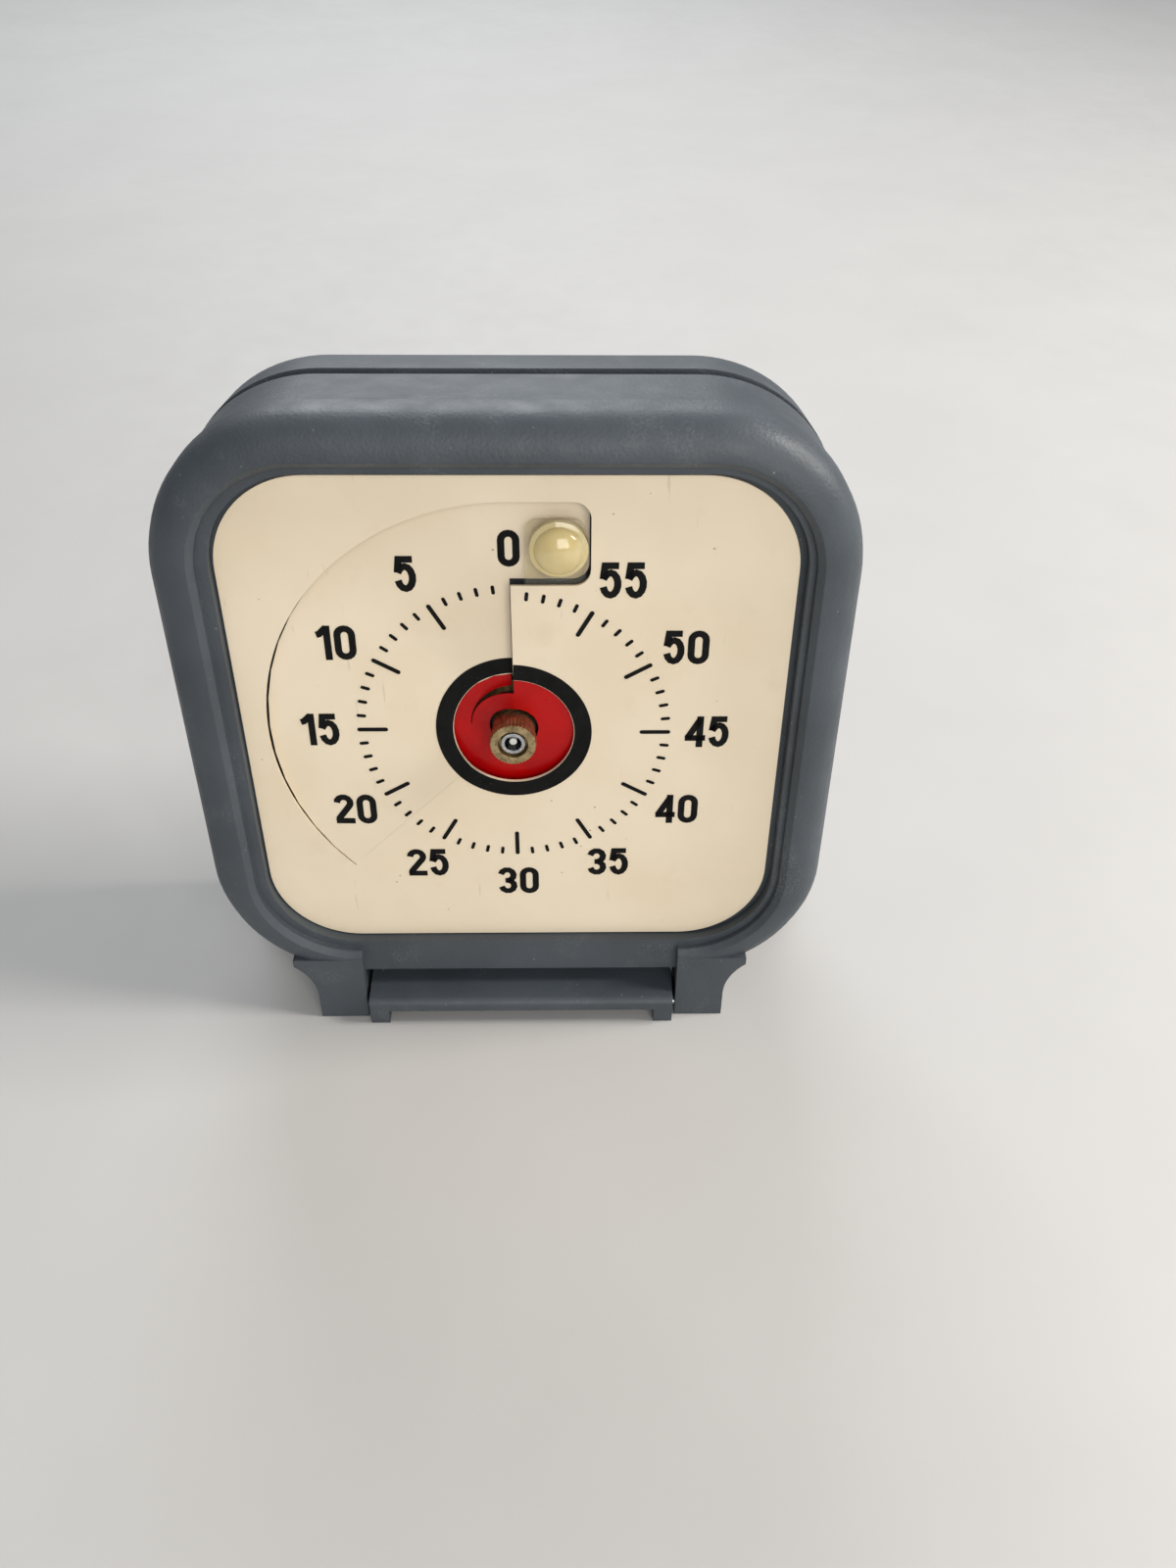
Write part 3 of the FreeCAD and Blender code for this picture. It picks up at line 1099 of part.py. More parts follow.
def stator(place):
    """Soft-iron plate round the rotor, with the bar that runs through the coil."""
    x, y = f"{place.x:.4f}", f"{place.y:.4f}"
    back, front = "0 - stator_depth - stator_thickness", "0 - stator_depth"
    plate = block("stator_plate", f"{x} - stator_half", f"{x} + stator_half", f"{y} - stator_half",
                  "stator_top", back, front)
    notch = rod("arbor_notch", f"{step_place.x:.4f}", f"{step_place.y:.4f}", "4 * pivot_radius", back, front)
    bar = block("coil_bar", "0 - core_left", f"{x}", "stator_top - core_width", "stator_top", back, front)
    hole = rod("rotor_hole", x, y, "stator_hole", back, front)
    whole = joined("stator_whole", [plate, bar])
    return finished("stator", carved("stator", whole, [hole, notch]))


def coil():
    """Copper winding round the stator's bar."""
    middle = "stator_top - core_width / 2"
    level = "0 - stator_depth - stator_thickness / 2"
    winding = cross_rod("winding", "0 - coil_left", "0 - coil_right", middle, level, "coil_radius")
    bar = block("bar_space", "0 - core_left", "0", "stator_top - core_width - fit_gap", "stator_top + fit_gap",
                "0 - stator_depth - stator_thickness - fit_gap", "fit_gap - stator_depth")
    return finished("coil", carved("coil", winding, [bar]))


def circuit_board():
    board = block("board_plate", "0 - board_left", "board_width - board_left", "board_low",
                  "board_low + board_height", "0 - stator_depth - board_thickness", "0 - stator_depth")
    chip = rod("board_blob", "board_width / 2 - board_left", "board_low + board_height / 4", "core_width",
               "0 - stator_depth - board_thickness / 2", "board_thickness - stator_depth")
    return finished("circuit_board", joined("circuit_board", [board, chip]))


def crystal():
    """Quartz crystal in its metal can, lying on the board."""
    left = "board_width / 2 - board_left - crystal_length / 2"
    can = cross_rod("crystal_can", left, f"{left} + crystal_length", "board_low + board_height * 3 / 4",
                    "fit_gap - stator_depth + crystal_radius", "crystal_radius")
    group = document.addObject("Part::Compound", "crystal")
    group.Links = [can]
    return finished("crystal", group)


def battery():
    """One penlight cell, lying in the bay."""
    left = "0 - battery_length / 2 - button_height / 2"
    level = "0 - room_front - battery_gap - battery_radius"
    cell = cross_rod("cell", left, f"{left} + battery_length", "0 - battery_y", level, "battery_radius")
    button = cross_rod("button", f"{left} + battery_length - button_height",
                       f"{left} + battery_length + button_height", "0 - battery_y", level, "button_radius")
    return finished("battery", joined("battery", [cell, button]))


def battery_contacts():
    """A flat strip at the button and a sprung strip at the other end of the battery."""
    low, high = "0 - battery_y - contact_height / 2", "contact_height / 2 - battery_y"
    level = "(0 - room_front - battery_gap - battery_radius)"
    back, front = f"{level} - contact_height / 2", f"{level} + contact_height / 2"
    wall = "(movement_half - movement_wall)"
    reach = "((battery_length + button_height) / 2)"
    strips = [
        block("strip_right", f"{wall} - contact_thickness - fit_gap", f"{wall} - fit_gap",
              low, high, back, front),
        block("strip_left", f"fit_gap - {wall}", f"fit_gap - {wall} + contact_thickness",
              low, high, back, front),
    ]
    pads = [
        cross_rod("pad_right", f"{reach} + fit_gap", f"{wall} - fit_gap", "0 - battery_y", level,
                  "button_radius"),
        cross_rod("pad_left", f"fit_gap - {wall}", f"0 - {reach} - fit_gap", "0 - battery_y", level,
                  "button_radius"),
    ]
    group = document.addObject("Part::Compound", "battery_contacts")
    group.Links = [joined("contact_right", [strips[0], pads[0]]), joined("contact_left", [strips[1], pads[1]])]
    return finished("battery_contacts", group)


# Lid, drawn from the hinge axis: x to the right, y away from the hinge, z up from the table

def lid():
    """A tray that covers the dial when it is shut, and lies under the case as its stand when open."""
    body = new_body("lid")
    panel = new_sketch(body, "panel")
    draw_rounded(panel, "0 - lid_half", "lid_half", "lid_near", "lid_far", "lid_corner")
    pad(body, panel, "lid_height")
    inside = new_sketch(body, "inside")
    draw_rounded(inside, "lid_rim - lid_half", "lid_half - lid_rim", "lid_near + lid_rim", "lid_far - lid_rim",
                 "lid_corner - lid_rim")
    pocket(body, inside, "lid_height - lid_wall", forward=True)
    open_end = new_sketch(body, "open_end")
    draw_rectangle(open_end, "0 - lid_half", "lid_half", "0", "rim_start")
    pocket(body, open_end, "lid_height - lid_wall", forward=True)
    crown = new_sketch(body, "crown", offset="lid_height - lid_wall / 2")
    draw_rounded(crown, "0 - crown_half", "crown_half", "crown_near", "crown_far", "crown_corner")
    raised = pad(body, crown, "crown_rise + lid_wall / 2")
    ease_edges(body, "crown_bevel", raised, "0.7 * lid_wall", flat_at("lid_height + crown_rise", "lid_far"))
    hollow = new_sketch(body, "crown_hollow", offset="lid_height - lid_wall")
    draw_rounded(hollow, "lid_rim - crown_half", "crown_half - lid_rim", "crown_near + lid_rim",
                 "crown_far - lid_rim", "crown_corner - lid_rim")
    pocket(body, hollow, "crown_rise", forward=True)
    tongue = new_sketch(body, "tongue", plane=YZ)
    draw_rectangle(tongue, "0 - tongue_front", "lid_near + lid_rim", "tongue_low", "tongue_high")
    wide = body.newObject("PartDesign::Pad", "tongue_pad")
    wide.Profile = tongue
    wide.Midplane = True
    bind(wide, Length="2 * tongue_half")
    lugs = new_sketch(body, "lugs")
    for left, right in (("tongue_half - lug_width", "tongue_half"),
                        ("0 - tongue_half", "lug_width - tongue_half")):
        draw_rectangle(lugs, left, right, "0 - tongue_front", "lug_back")
    lugged = pad(body, lugs, "tongue_high - running_gap")
    front = -number("tongue_front")
    high = number("tongue_high")
    ease_edges(body, "tongue_roll", lugged, "tongue_rounding",
               lambda box: abs(box.YMax - front) < 0.01 and abs(box.ZMin - high) < 0.01
               and abs(box.ZMax - high) < 0.01, "Fillet")
    bores = new_sketch(body, "lug_bores", plane=YZ)
    draw_circle(bores, "0", "hinge_height", "pin_radius + running_gap")
    cut = body.newObject("PartDesign::Pocket", "lug_bores_cut")
    cut.Profile = bores
    cut.Midplane = True
    bind(cut, Length="2 * tongue_half + 1")
    return finished("lid", body, lay_at_hinge)


def check_and_write():
    """Stop on any failed object or shape, then write each piece to its own file."""
    document.recompute()
    for thing in document.Objects:
        if "Invalid" in thing.State or "Error" in thing.State:
            raise RuntimeError(f"{thing.Name} failed: {thing.State}")
    for piece in nodes:
        if piece.Shape.isNull() or not piece.Shape.isValid() or not piece.Shape.Solids:
            raise RuntimeError(f"{piece.Label} has no valid solid")
    os.makedirs("parts", exist_ok=True)
    for piece in nodes:
        piece.Shape.exportStep(f"parts/{piece.Label}.step")
        print(piece.Label, len(piece.Shape.Solids), round(piece.Shape.Volume, 2))


third_place, step_place, rotor_place = arbor_places()
arbors = [("third", third_place), ("intermediate", step_place), ("rotor", rotor_place)]
front_shell()
rear_cover()
battery_door()
case_screws()
hinge_pins()
dial_plate()
mounting_nut()
movement_housing(arbors)
movement_cover(arbors)
stator(rotor_place)
coil()
circuit_board()
crystal()
battery()
battery_contacts()
knurled_hub()
minute_tube()
centre_wheel()
red_disc()
clear_tab()
grip_knob()
third_wheel(third_place, number("third_direction"))
seconds_wheel(number("third_direction"), third_place.Length)
step_wheel(step_place, number("step_direction"))
rotor(rotor_place, number("rotor_direction"))
lid()
check_and_write()
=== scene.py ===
"""Visual countdown timer on a pale table, seen from above and a little to the right."""

import json
import math

import bpy
from mathutils import Matrix, Vector


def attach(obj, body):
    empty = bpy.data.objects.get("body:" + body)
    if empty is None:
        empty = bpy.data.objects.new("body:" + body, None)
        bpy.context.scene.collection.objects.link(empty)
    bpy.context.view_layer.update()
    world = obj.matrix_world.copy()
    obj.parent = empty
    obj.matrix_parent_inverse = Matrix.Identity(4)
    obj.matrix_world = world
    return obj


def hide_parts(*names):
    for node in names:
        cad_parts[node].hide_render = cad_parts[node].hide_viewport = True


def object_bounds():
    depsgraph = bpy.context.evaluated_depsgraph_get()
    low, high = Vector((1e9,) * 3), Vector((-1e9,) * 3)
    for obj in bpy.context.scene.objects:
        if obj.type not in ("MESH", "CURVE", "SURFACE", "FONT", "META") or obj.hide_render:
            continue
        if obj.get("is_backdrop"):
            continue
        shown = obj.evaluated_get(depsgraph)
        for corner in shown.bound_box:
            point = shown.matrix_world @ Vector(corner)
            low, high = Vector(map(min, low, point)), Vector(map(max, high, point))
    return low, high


MM = 0.001

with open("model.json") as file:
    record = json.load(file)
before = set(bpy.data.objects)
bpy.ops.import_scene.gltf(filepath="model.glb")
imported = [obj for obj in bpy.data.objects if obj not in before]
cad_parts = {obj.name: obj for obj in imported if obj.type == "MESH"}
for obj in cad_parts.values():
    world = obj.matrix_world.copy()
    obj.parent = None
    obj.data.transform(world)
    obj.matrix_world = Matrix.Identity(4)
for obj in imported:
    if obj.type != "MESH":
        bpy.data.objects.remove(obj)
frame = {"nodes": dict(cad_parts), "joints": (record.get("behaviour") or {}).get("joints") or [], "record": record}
cad_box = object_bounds()

# The dial's own directions: right, up the dial and out of it, from the dial's centre
hub_joint = next(joint for joint in frame["joints"] if joint["name"] == "hub_turn")
DIAL_CENTRE = Vector(hub_joint["pos_m"])
DIAL_OUT = Vector(hub_joint["axis"]).normalized()
DIAL_RIGHT = Vector((1.0, 0.0, 0.0))
DIAL_UP = DIAL_OUT.cross(DIAL_RIGHT).normalized()

# The camera's place in mm and its picture's right and down, all in the dial's directions
CAMERA_PLACE = (7.10, 94.15, 141.56)
CAMERA_RIGHT = (0.99984, 0.00718, 0.01635)
CAMERA_DOWN = (-0.00380, -0.80897, 0.58784)
CAMERA_LENS = 28.685
CAMERA_SENSOR = 36.0

# Sizes on the dial are in mm, and angles in degrees to the left of the top.
# The flap is flat near its free end, then climbs to the plate at its root.
FLAP_DEPTH = 1.85
FLAP_FLAT_ANGLE = 36.0
FLAP_ANGLE = 134.4
FLAP_REACH = 33.0
TAB_RIGHT, TAB_LOW = 10.14, 22.16
SLIT_WIDTH = 0.16

PRINT_LIFT = 0.05
RING_INNER, RING_OUTER = 8.26, 10.6
TICK_OUTER, MAJOR_INNER, MINOR_INNER = 21.3, 17.1, 20.0
MAJOR_WIDTH, MINOR_WIDTH = 0.60, 0.48
NUMERAL_RADIUS = 26.3
DIGIT_HEIGHT, DIGIT_WIDTH, DIGIT_STROKE, DIGIT_GAP = 5.0, 2.8, 0.92, 0.40
ONE_WIDTH = 1.9
NOTCH_SHIFT = 1.2
RING_STEP = 4.0
TICK_END_STEPS = 4
TICK_TIP = 0.02
MITRE_LIMIT = 0.5
SHORTEST_SIDE = 1e-9

KNOB_PLACE = (6.3, 27.05)
KNOB_RADIUS, KNOB_SIDE, KNOB_HEIGHT = 3.68, 1.0, 2.78
KNOB_DOME = 3.1
KNOB_FOOT = -0.55
KNOB_ROUNDS = 64
DOME_STEPS = 10

SMOOTH_ANGLE = 35.0
WELD_GAP = 0.002
WAVE_PERIOD = 0.314
BEVEL_SAMPLES = 4
FLOOR_REACH = 3.0


def dial_direction(x, y, z):
    return DIAL_RIGHT * x + DIAL_UP * y + DIAL_OUT * z


def dial_point(x, y, z):
    return DIAL_CENTRE + dial_direction(x, y, z) * MM


def flap_share(x, y):
    """How far down the flap a place on the dial is, from 0 on the plate to 1 at full depth."""
    if math.hypot(x, y) > FLAP_REACH:
        return 0.0
    if 0 < x < TAB_RIGHT and y > TAB_LOW:
        return 1.0
    angle = math.degrees(math.atan2(-x, y))
    if angle < -0.01 or angle > FLAP_ANGLE:
        return 0.0
    return min(1.0, (FLAP_ANGLE - angle) / (FLAP_ANGLE - FLAP_FLAT_ANGLE))


def polar(radius, angle):
    """A place on the dial at an angle to the left of the top."""
    turn = math.radians(angle)
    return (-radius * math.sin(turn), radius * math.cos(turn))


# Node trees

class Tree:
    """A material's nodes, made and joined in few words."""

    def __init__(self, name):
        self.material = bpy.data.materials.new(name)
        self.material.use_nodes = True
        self.nodes = self.material.node_tree.nodes
        self.links = self.material.node_tree.links
        self.shader = self.nodes["Principled BSDF"]
        self.place = self.node("ShaderNodeTexCoord").outputs["Object"]

    def node(self, kind, **settings):
        made = self.nodes.new(kind)
        for key, value in settings.items():
            setattr(made, key, value)
        return made

    def join(self, source, target):
        self.links.new(source, target)

    def stretched(self, stretch):
        """Places squeezed along each axis, so that a texture runs long the other way."""
        mapping = self.node("ShaderNodeMapping")
        self.join(self.place, mapping.inputs["Vector"])
        mapping.inputs["Scale"].default_value = stretch
        return mapping.outputs["Vector"]

    def noise(self, size_mm, detail=3.0, stretch=None):
        """Soft random variation, with features of about one size."""
        texture = self.node("ShaderNodeTexNoise")
        self.join(self.stretched(stretch) if stretch else self.place, texture.inputs["Vector"])
        texture.inputs["Scale"].default_value = 1.0 / (size_mm * MM)
        texture.inputs["Detail"].default_value = detail
        return texture.outputs["Fac"]

    def cells(self, size_mm):
        """Distance from scattered points, for specks."""
        texture = self.node("ShaderNodeTexVoronoi")
        self.join(self.place, texture.inputs["Vector"])
        texture.inputs["Scale"].default_value = 1.0 / (size_mm * MM)
        return texture.outputs["Distance"]

    def wave(self, size_mm, direction, distortion):
        """Bands across one direction, a little bent."""
        texture = self.node("ShaderNodeTexWave", bands_direction=direction)
        self.join(self.place, texture.inputs["Vector"])
        texture.inputs["Scale"].default_value = WAVE_PERIOD / (size_mm * MM)
        texture.inputs["Distortion"].default_value = distortion
        return texture.outputs["Fac"]

    def ramp(self, value, low, high, bottom=0.0, top=1.0):
        """A value stretched between two limits."""
        scaled = self.node("ShaderNodeMapRange")
        self.join(value, scaled.inputs["Value"])
        for name, number in (("From Min", low), ("From Max", high), ("To Min", bottom), ("To Max", top)):
            scaled.inputs[name].default_value = number
        return scaled.outputs["Result"]

    def product(self, first, second):
        times = self.node("ShaderNodeMath", operation="MULTIPLY")
        self.join(first, times.inputs[0])
        self.join(second, times.inputs[1])
        return times.outputs["Value"]

    def mixed(self, share, first, second):
        """Two colours, or a colour over an earlier mix, blended by a share."""
        mix = self.node("ShaderNodeMix", data_type="RGBA")
        self.join(share, mix.inputs["Factor"])
        for socket, colour in ((mix.inputs[6], first), (mix.inputs[7], second)):
            if isinstance(colour, tuple):
                socket.default_value = (*colour, 1.0)
            else:
                self.join(colour, socket)
        return mix.outputs[2]

    def relief(self, heights, edge_mm=0.0):
        """Bumps from pairs of height and depth in mm, over edges that are softly rounded."""
        normal = None
        if edge_mm:
            bevel = self.node("ShaderNodeBevel", samples=BEVEL_SAMPLES)
            bevel.inputs["Radius"].default_value = edge_mm * MM
            normal = bevel.outputs["Normal"]
        for height, depth in heights:
            bump = self.node("ShaderNodeBump")
            bump.inputs["Strength"].default_value = 1.0
            bump.inputs["Distance"].default_value = depth * MM
            self.join(height, bump.inputs["Height"])
            if normal:
                self.join(normal, bump.inputs["Normal"])
            normal = bump.outputs["Normal"]
        self.join(normal, self.shader.inputs["Normal"])

    def finish(self, colour, roughness, **sockets):
        self.join(colour, self.shader.inputs["Base Color"])
        self.join(roughness, self.shader.inputs["Roughness"])
        for name, value in sockets.items():
            self.shader.inputs[name.replace("_", " ")].default_value = value
        return self.material


# Materials

def case_plastic():
    """Slate grey plastic with a fine leathery grain, dust in the grain and rubbed places."""
    tree = Tree("case_plastic")
    shade = tree.mixed(tree.ramp(tree.noise(14.0), 0.35, 0.65), (0.050, 0.060, 0.070), (0.064, 0.076, 0.088))
    patches = tree.ramp(tree.noise(6.0, 6.0), 0.56, 0.70)
    rubbed = tree.product(patches, tree.ramp(tree.noise(0.35, 2.0), 0.45, 0.62))
    shade = tree.mixed(tree.ramp(rubbed, 0.0, 1.0, 0.0, 0.35), shade, (0.15, 0.165, 0.18))
    dust = tree.product(tree.ramp(tree.cells(1.7), 0.09, 0.05), tree.ramp(tree.noise(5.0), 0.50, 0.62))
    shade = tree.mixed(tree.ramp(dust, 0.0, 1.0, 0.0, 0.55), shade, (0.36, 0.34, 0.30))
    tree.relief([(tree.noise(0.42, 2.0), 0.05), (tree.noise(3.0, 2.0), 0.05)], 0.22)
    return tree.finish(shade, tree.ramp(tree.noise(4.0), 0.3, 0.7, 0.43, 0.56), Specular_IOR_Level=0.42)


def dial_plastic():
    """Cream printed sheet with faint stains, hair scratches and brown specks."""
    tree = Tree("dial_plastic")
    shade = tree.mixed(tree.ramp(tree.noise(18.0), 0.35, 0.65), (0.82, 0.69, 0.50), (0.86, 0.74, 0.56))
    stain = tree.ramp(tree.noise(7.0, 5.0), 0.62, 0.78, 0.0, 0.16)
    shade = tree.mixed(stain, shade, (0.55, 0.40, 0.25))
    specks = tree.product(tree.ramp(tree.cells(2.6), 0.075, 0.035), tree.ramp(tree.noise(9.0), 0.54, 0.62))
    shade = tree.mixed(tree.ramp(specks, 0.0, 1.0, 0.0, 0.7), shade, (0.22, 0.12, 0.07))
    hairs = tree.noise(0.5, 2.0, stretch=(1.0, 0.05, 0.06))
    scratch = tree.product(tree.ramp(hairs, 0.70, 0.74), tree.ramp(tree.noise(5.0), 0.48, 0.60))
    shade = tree.mixed(tree.ramp(scratch, 0.0, 1.0, 0.0, 0.35), shade, (0.50, 0.42, 0.32))
    tree.relief([(tree.noise(1.2, 2.0), 0.006), (scratch, 0.01)], 0.05)
    return tree.finish(shade, tree.ramp(tree.noise(5.0, 4.0), 0.3, 0.7, 0.34, 0.46), Specular_IOR_Level=0.45)


def red_plastic():
    """Red satin sheet, a little uneven, with pale dust."""
    tree = Tree("red_plastic")
    clouds = tree.ramp(tree.noise(5.0, 4.0), 0.35, 0.65)
    shade = tree.mixed(clouds, (0.40, 0.0, 0.001), (0.52, 0.001, 0.002))
    dust = tree.ramp(tree.cells(0.9), 0.10, 0.05, 0.0, 0.3)
    shade = tree.mixed(dust, shade, (0.55, 0.12, 0.10))
    tree.relief([(tree.noise(0.6), 0.006)], 0.03)
    return tree.finish(shade, tree.ramp(tree.noise(1.5, 4.0), 0.3, 0.7, 0.26, 0.38), Specular_IOR_Level=0.25)


def clear_plastic():
    """Thin clear sheet, a little yellow and cloudy with wear."""
    tree = Tree("clear_plastic")
    shade = tree.mixed(tree.ramp(tree.noise(3.0), 0.35, 0.65), (0.97, 0.95, 0.86), (0.93, 0.90, 0.78))
    tree.relief([(tree.noise(0.8), 0.004)])
    return tree.finish(shade, tree.ramp(tree.noise(1.0, 4.0), 0.4, 0.75, 0.04, 0.16),
                       Transmission_Weight=0.96, IOR=1.25)


def knob_plastic():
    """Clear soft plastic gone yellow, with dust on its crown."""
    tree = Tree("knob_plastic")
    shade = tree.mixed(tree.ramp(tree.noise(2.5), 0.35, 0.65), (0.98, 0.79, 0.36), (1.0, 0.86, 0.48))
    dust = tree.ramp(tree.cells(0.8), 0.12, 0.06, 0.0, 0.25)
    shade = tree.mixed(dust, shade, (0.90, 0.85, 0.70))
    tree.relief([(tree.noise(0.9), 0.01)])
    return tree.finish(shade, tree.ramp(tree.noise(0.7, 4.0), 0.4, 0.75, 0.06, 0.22),
                       Transmission_Weight=0.4, IOR=1.46, Coat_Weight=0.8, Coat_Roughness=0.04)


def black_print():
    """Black screen print, a little worn through in places."""
    tree = Tree("black_print")
    wear = tree.ramp(tree.noise(0.22, 3.0), 0.70, 0.78, 0.0, 0.45)
    shade = tree.mixed(tree.ramp(tree.noise(2.0), 0.3, 0.7), (0.004, 0.004, 0.004), (0.008, 0.008, 0.008))
    shade = tree.mixed(wear, shade, (0.35, 0.29, 0.21))
    tree.relief([(tree.noise(0.25), 0.004)])
    return tree.finish(shade, tree.ramp(tree.noise(1.5), 0.3, 0.7, 0.45, 0.6), Specular_IOR_Level=0.10)


def metal(name, dark, bright, tarnish, roughness, brushed=None):
    """Metal with uneven tarnish and fine tool marks."""
    tree = Tree(name)
    shade = tree.mixed(tree.ramp(tree.noise(1.6, 4.0), 0.35, 0.65), dark, bright)
    spots = tree.ramp(tree.noise(0.5, 5.0), 0.50, 0.72, 0.0, 0.75)
    shade = tree.mixed(spots, shade, tarnish)
    marks = tree.noise(0.12, 2.0, stretch=brushed) if brushed else tree.noise(0.10)
    tree.relief([(marks, 0.008)], 0.05)
    low, high = roughness
    return tree.finish(shade, tree.ramp(tree.noise(0.4, 4.0), 0.3, 0.7, low, high), Metallic=1.0)


def moulded(name, dark, bright, roughness, grain_mm=0.3):
    """Plain moulded plastic with flow marks and a fine grain."""
    tree = Tree(name)
    shade = tree.mixed(tree.ramp(tree.noise(4.0, 4.0), 0.35, 0.65), dark, bright)
    tree.relief([(tree.noise(grain_mm), 0.012)], 0.08)
    low, high = roughness
    return tree.finish(shade, tree.ramp(tree.noise(2.0), 0.3, 0.7, low, high))


def coil_copper():
    """Enamelled wire, wound in close turns, with painted shade darkening the grooves between the turns."""
    tree = Tree("coil_copper")
    turns = tree.wave(0.12, "X", 0.4)
    # Painted shade: the wire's colour goes dark brown in the grooves between turns, following the same bands as
    # the bumps.
    shade = tree.mixed(turns, (0.22, 0.05, 0.015), (0.62, 0.22, 0.08))
    tree.relief([(turns, 0.04)])
    return tree.finish(shade, tree.ramp(tree.noise(1.0), 0.3, 0.7, 0.25, 0.4), Metallic=0.7)


def board_green():
    """Lacquered circuit board with lighter copper runs under the lacquer."""
    tree = Tree("board_green")
    lanes = tree.ramp(tree.wave(1.1, "X", 1.5), 0.62, 0.70)
    runs = tree.product(lanes, tree.ramp(tree.noise(3.0), 0.45, 0.50))
    shade = tree.mixed(runs, (0.012, 0.10, 0.045), (0.07, 0.24, 0.08))
    tree.relief([(runs, 0.02)])
    return tree.finish(shade, tree.ramp(tree.noise(2.0), 0.3, 0.7, 0.2, 0.35))


def battery_wrap():
    """Dark plain foil sleeve with a fine shrink wrinkle."""
    tree = Tree("battery_wrap")
    shade = tree.mixed(tree.ramp(tree.noise(6.0), 0.4, 0.6), (0.030, 0.031, 0.034), (0.055, 0.055, 0.058))
    tree.relief([(tree.noise(1.4, 4.0, stretch=(0.2, 1.0, 1.0)), 0.02)])
    return tree.finish(shade, tree.ramp(tree.noise(2.5), 0.3, 0.7, 0.22, 0.38), Metallic=0.35)


MATERIALS = {
    "case_plastic": case_plastic(),
    "dial_plastic": dial_plastic(),
    "red_plastic": red_plastic(),
    "clear_plastic": clear_plastic(),
    "knob_plastic": knob_plastic(),
    "brass": metal("brass", (0.32, 0.24, 0.12), (0.52, 0.40, 0.22), (0.08, 0.06, 0.04), (0.34, 0.55)),
    "pin_steel": metal("pin_steel", (0.45, 0.46, 0.48), (0.66, 0.67, 0.69), (0.22, 0.22, 0.23), (0.18, 0.34),
                       (0.1, 1.0, 1.0)),
    "screw_steel": metal("screw_steel", (0.34, 0.34, 0.35), (0.52, 0.52, 0.53), (0.16, 0.15, 0.14),
                         (0.3, 0.5)),
    "contact_steel": metal("contact_steel", (0.52, 0.52, 0.52), (0.70, 0.70, 0.69), (0.34, 0.32, 0.28),
                           (0.2, 0.36), (1.0, 1.0, 0.1)),
    "stator_iron": metal("stator_iron", (0.20, 0.20, 0.21), (0.32, 0.32, 0.33), (0.12, 0.09, 0.07),
                         (0.35, 0.55), (0.1, 1.0, 1.0)),
    "crystal_can": metal("crystal_can", (0.58, 0.58, 0.60), (0.76, 0.76, 0.78), (0.40, 0.40, 0.40),
                         (0.2, 0.35), (0.1, 1.0, 1.0)),
    "magnet": metal("magnet", (0.10, 0.10, 0.11), (0.18, 0.18, 0.19), (0.07, 0.06, 0.06), (0.3, 0.5)),
    "movement_plastic": moulded("movement_plastic", (0.014, 0.014, 0.016), (0.026, 0.026, 0.028),
                                (0.42, 0.6)),
    "gear_plastic": moulded("gear_plastic", (0.68, 0.67, 0.62), (0.80, 0.79, 0.75), (0.3, 0.45), 0.2),
    "coil_copper": coil_copper(),
    "board_green": board_green(),
    "battery_wrap": battery_wrap(),
}
BLACK_PRINT = black_print()


def smooth(piece):
    """Round shading over shallow bends, with every sharper edge kept crisp."""
    for face in piece.data.polygons:
        face.use_smooth = True
    if "custom_normal" in piece.data.attributes:
        piece.data.attributes.remove(piece.data.attributes["custom_normal"])
    weld = piece.modifiers.new("weld", "WELD")
    weld.merge_threshold = WELD_GAP * MM
    split = piece.modifiers.new("crisp_edges", "EDGE_SPLIT")
    split.split_angle = math.radians(SMOOTH_ANGLE)


def dress_nodes():
    """Give every carried-over piece the material of its slot."""
    for part in frame["record"]["subparts"]:
        node = frame["nodes"][part["node"]]
        node.data.materials.clear()
        node.data.materials.append(MATERIALS[part["material_slot"]])
        smooth(node)


# Pieces

def add_piece(name, points, faces, material, body):
    mesh = bpy.data.meshes.new(name)
    mesh.from_pydata(points, [], faces)
    mesh.materials.append(material)
    mesh.validate()
    piece = bpy.data.objects.new(name, mesh)
    bpy.context.scene.collection.objects.link(piece)
    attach(piece, body)
    return piece


def ribbon(path, width, closed=False):
    """The two edges of a flat stroke along a path, mitred where it bends."""
    count = len(path)
    edges = []
    for index, (x, y) in enumerate(path):
        before = path[(index - 1) % count] if closed or index else path[index]
        after = path[(index + 1) % count] if closed or index < count - 1 else path[index]
        sides = []
        for (x0, y0), (x1, y1) in ((before, (x, y)), ((x, y), after)):
            length = math.hypot(x1 - x0, y1 - y0)
            if length > SHORTEST_SIDE:
                sides.append(((y0 - y1) / length, (x1 - x0) / length))
        nx, ny = sides[0] if len(sides) == 1 else (sides[0][0] + sides[1][0], sides[0][1] + sides[1][1])
        size = math.hypot(nx, ny)
        nx, ny = nx / size, ny / size
        reach = width / 2 / max(MITRE_LIMIT, nx * sides[0][0] + ny * sides[0][1])
        edges.append(((x - nx * reach, y - ny * reach), (x + nx * reach, y + ny * reach)))
    if closed:
        edges.append(edges[0])
    return edges


def print_strokes(name, strokes):
    """Lay flat strokes on the dial, following the flap, as one printed piece."""
    points, faces = [], []
    for edges in strokes:
        first = len(points)
        for pair in edges:
            for x, y in pair:
                points.append(dial_point(x, y, PRINT_LIFT - FLAP_DEPTH * flap_share(x, y)))
        for index in range(len(edges) - 1):
            corner = first + 2 * index
            faces.append((corner, corner + 1, corner + 3, corner + 2))
    return add_piece(name, points, faces, BLACK_PRINT, "case")


